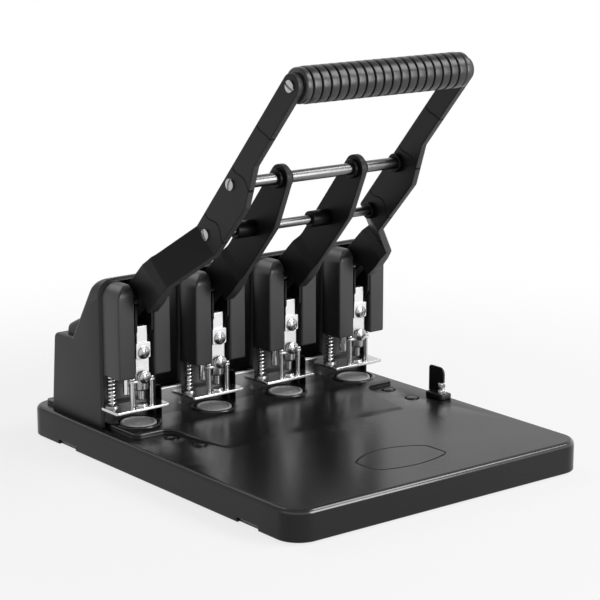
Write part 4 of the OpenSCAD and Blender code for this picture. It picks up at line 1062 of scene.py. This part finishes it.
CAP_L, GRIP_R, GROOVE, RIBS, RIB_POINTS = 6.0, 15.0, 1.9, 18, 28
sleeve_half = rod_half - CAP_L
rib = np.linspace(0, RIBS, RIBS * RIB_POINTS + 1)
phase = np.abs(rib % 1 - 0.5) * 2
into_groove = np.clip((phase - 0.74) / 0.18, 0, 1)
sleeve_r = GRIP_R - GROOVE * into_groove ** 2 * (3 - 2 * into_groove) - 0.15 * phase ** 2
sleeve_at = -sleeve_half + 2 * sleeve_half * rib / RIBS
bore = 9.2
sleeve = np.concatenate([[(bore, 0), (bore, -sleeve_half)], np.column_stack([sleeve_r, sleeve_at]),
                         [(bore, sleeve_half), (bore, 0)]])
grip_black = grip_plastic("grip black")
put("ribbed_sleeve", [along_rod(sleeve, *GRIP, 72)], grip_black, "press_lever", ["grip_sleeve"])
cap = rounded_profile([(bore, 0), (bore, -CAP_L / 2), (GRIP_R - 0.5, -CAP_L / 2), (GRIP_R - 0.5, CAP_L / 2),
                       (bore, CAP_L / 2), (bore, 0)], [0.3, 1.2, 1.6, 0.3])
put("end_rings", [along_rod(cap, *GRIP, 72, x=side * (rod_half - CAP_L / 2)) for side in (-1, 1)],
    moulded_plastic("ring black", 0.03, 0.3, 0.000004), "press_lever", ["grip_caps"])
coat(ground_steel, "grip_tube")


# Side guide: a small black stop at the right edge of the base, moulded with a foot.
# A knurled screw clamps the foot in a slot of the base.
guide_low, guide_high = box_mm("side_guide")
tab_x, tab_t, tab_y0, tab_y1 = 148.5, 2.0, -24.0, -4.0
foot_top = guide_low[2] + 5
tab_outline = filleted(rectangle_corners(tab_y0, foot_top - 2, tab_y1, guide_high[2]), [0.9, 0.9, 3, 6])
foot_y1 = tab_y1 - 5.5
guide_foot = plate(rectangle(guide_low[0], guide_low[1], guide_high[0], foot_y1, 2.4),
                   guide_low[2], foot_top, 1.0)
put("stop_tab", [*seen_from_side(plate(tab_outline, tab_x, tab_x + tab_t, 0.6)), *guide_foot],
    moulded_plastic("guide black", 0.006, 0.36), "stop_guide", ["side_guide"])
knob_low, knob_high = box_mm("guide_screw")
knob_x, knob_y = (knob_low + knob_high)[:2] / 2
knob_r, RIM_L, KNURLS, KNURL_DEEP = 3.2, 3.8, 24, 0.16


def knurled_knob():
    """Thumb screw: r(u, v) = profile(v) + depth * cos(knurls * u) on two rims, with a neck between them."""
    low, high = foot_top, knob_high[2]
    profile = rounded_profile([(0, low), (knob_r, low), (knob_r, low + RIM_L), (knob_r - 1, low + RIM_L),
                               (knob_r - 1, high - RIM_L), (knob_r, high - RIM_L), (knob_r, high), (0, high)],
                              [0.5, 0.5, 0.3, 0.3, 0.5, 0.7])
    points = turned(profile, 0, 0, 144)
    radius = np.linalg.norm(points[..., :2], axis=-1)
    angle = np.arctan2(points[..., 1], points[..., 0])
    grow = 1 + KNURL_DEEP * np.cos(KNURLS * angle) * (radius > knob_r - 0.3) / np.maximum(radius, 1)
    return grid(points * np.stack([grow, grow, np.ones_like(grow)], -1))


put("thumb_screw", moved([knurled_knob()], knob_x, knob_y), screw_zinc, "stop_guide",
    ["guide_screw"])


# Studio: a plain matt white floor in a white surround, lit by three soft square lamps on stands.
# The camera stands where the photograph was taken from, in front on the left.
def seen_ray(place):
    """1 for what the camera sees, straight or by reflection or through glass, and 0 for other light."""
    rays = [place.node("LightPath", output=f"Is {kind} Ray") for kind in ("Camera", "Glossy", "Transmission")]
    return rays[0] + rays[1] + rays[2]


def studio_floor():
    """White floor that keeps the shadow and glows a little for the camera and for reflections."""
    material, shader, place = finish("studio floor", {"Roughness": 0.9, "Base Color": grey(0.92)})
    shader.inputs["Specular IOR Level"].default_value = 0.0
    glow = place.node("Emission", {"Color": grey(1.0), "Strength": 1.0})
    lit = Value(material.node_tree, shader.outputs[0])
    far = place.node("VectorMath", {0: place}, output="Value", operation="LENGTH")
    share = seen_ray(place) * (0.78 + 0.22 * rising(far, 0.3, 0.8))
    both = place.node("MixShader", {0: share, 1: lit, 2: glow})
    output = material.node_tree.nodes["Material Output"]
    material.node_tree.links.new(both.socket, output.inputs["Surface"])
    return material


floor_mesh = bpy.data.meshes.new("studio_floor")
floor_mesh.from_pydata([(-8, -8, 0), (8, -8, 0), (8, 8, 0), (-8, 8, 0)], [], [(0, 1, 2, 3)])
floor_mesh.materials.append(studio_floor())
floor = bpy.data.objects.new("studio_floor", floor_mesh)
bpy.context.scene.collection.objects.link(floor)

world = bpy.data.worlds.new("white surround")
bpy.context.scene.world = world
world.use_nodes = True
way = Value(world.node_tree).node("TexCoord", output="Generated")
height = way.node("SeparateXYZ", {0: way}, output="Z")
level = (1 - 0.62 * rising(height, 0.25, 0.8)) * (0.38 + 0.62 * seen_ray(way))
world.node_tree.links.new(level.socket, world.node_tree.nodes["Background"].inputs["Strength"])
world.node_tree.nodes["Background"].inputs["Color"].default_value = grey(1.0)


MIDDLE = Vector((0.0, 0.0, 0.12))


def lamp(name, place, size, watts):
    """Soft square lamp at a place, turned to the middle of the punch."""
    light = bpy.data.lights.new(name, "AREA")
    light.energy = watts
    light.size = size
    made = bpy.data.objects.new(name, light)
    made.location = place
    made.rotation_euler = (MIDDLE - Vector(place)).to_track_quat("-Z", "Y").to_euler()
    bpy.context.scene.collection.objects.link(made)


lamp("key lamp", (1.3, -0.9, 1.7), 0.9, 16)
lamp("front lamp", (0.9, -2.1, 0.66), 1.2, 36)
lamp("back lamp", (-0.2, 1.8, 1.8), 1.4, 10)

LOOK_AT = Vector((0.0262, 0.0304, 0.1263))
eye = bpy.data.cameras.new("camera")
eye.lens = 123.92
eye.sensor_width = 36.0
camera = bpy.data.objects.new("camera", eye)
camera.location = (-1.0671, -1.3617, 0.5404)
camera.rotation_euler = (LOOK_AT - camera.location).to_track_quat("-Z", "Y").to_euler()
bpy.context.scene.collection.objects.link(camera)
bpy.context.scene.camera = camera
bpy.context.scene.view_settings.view_transform = "Standard"
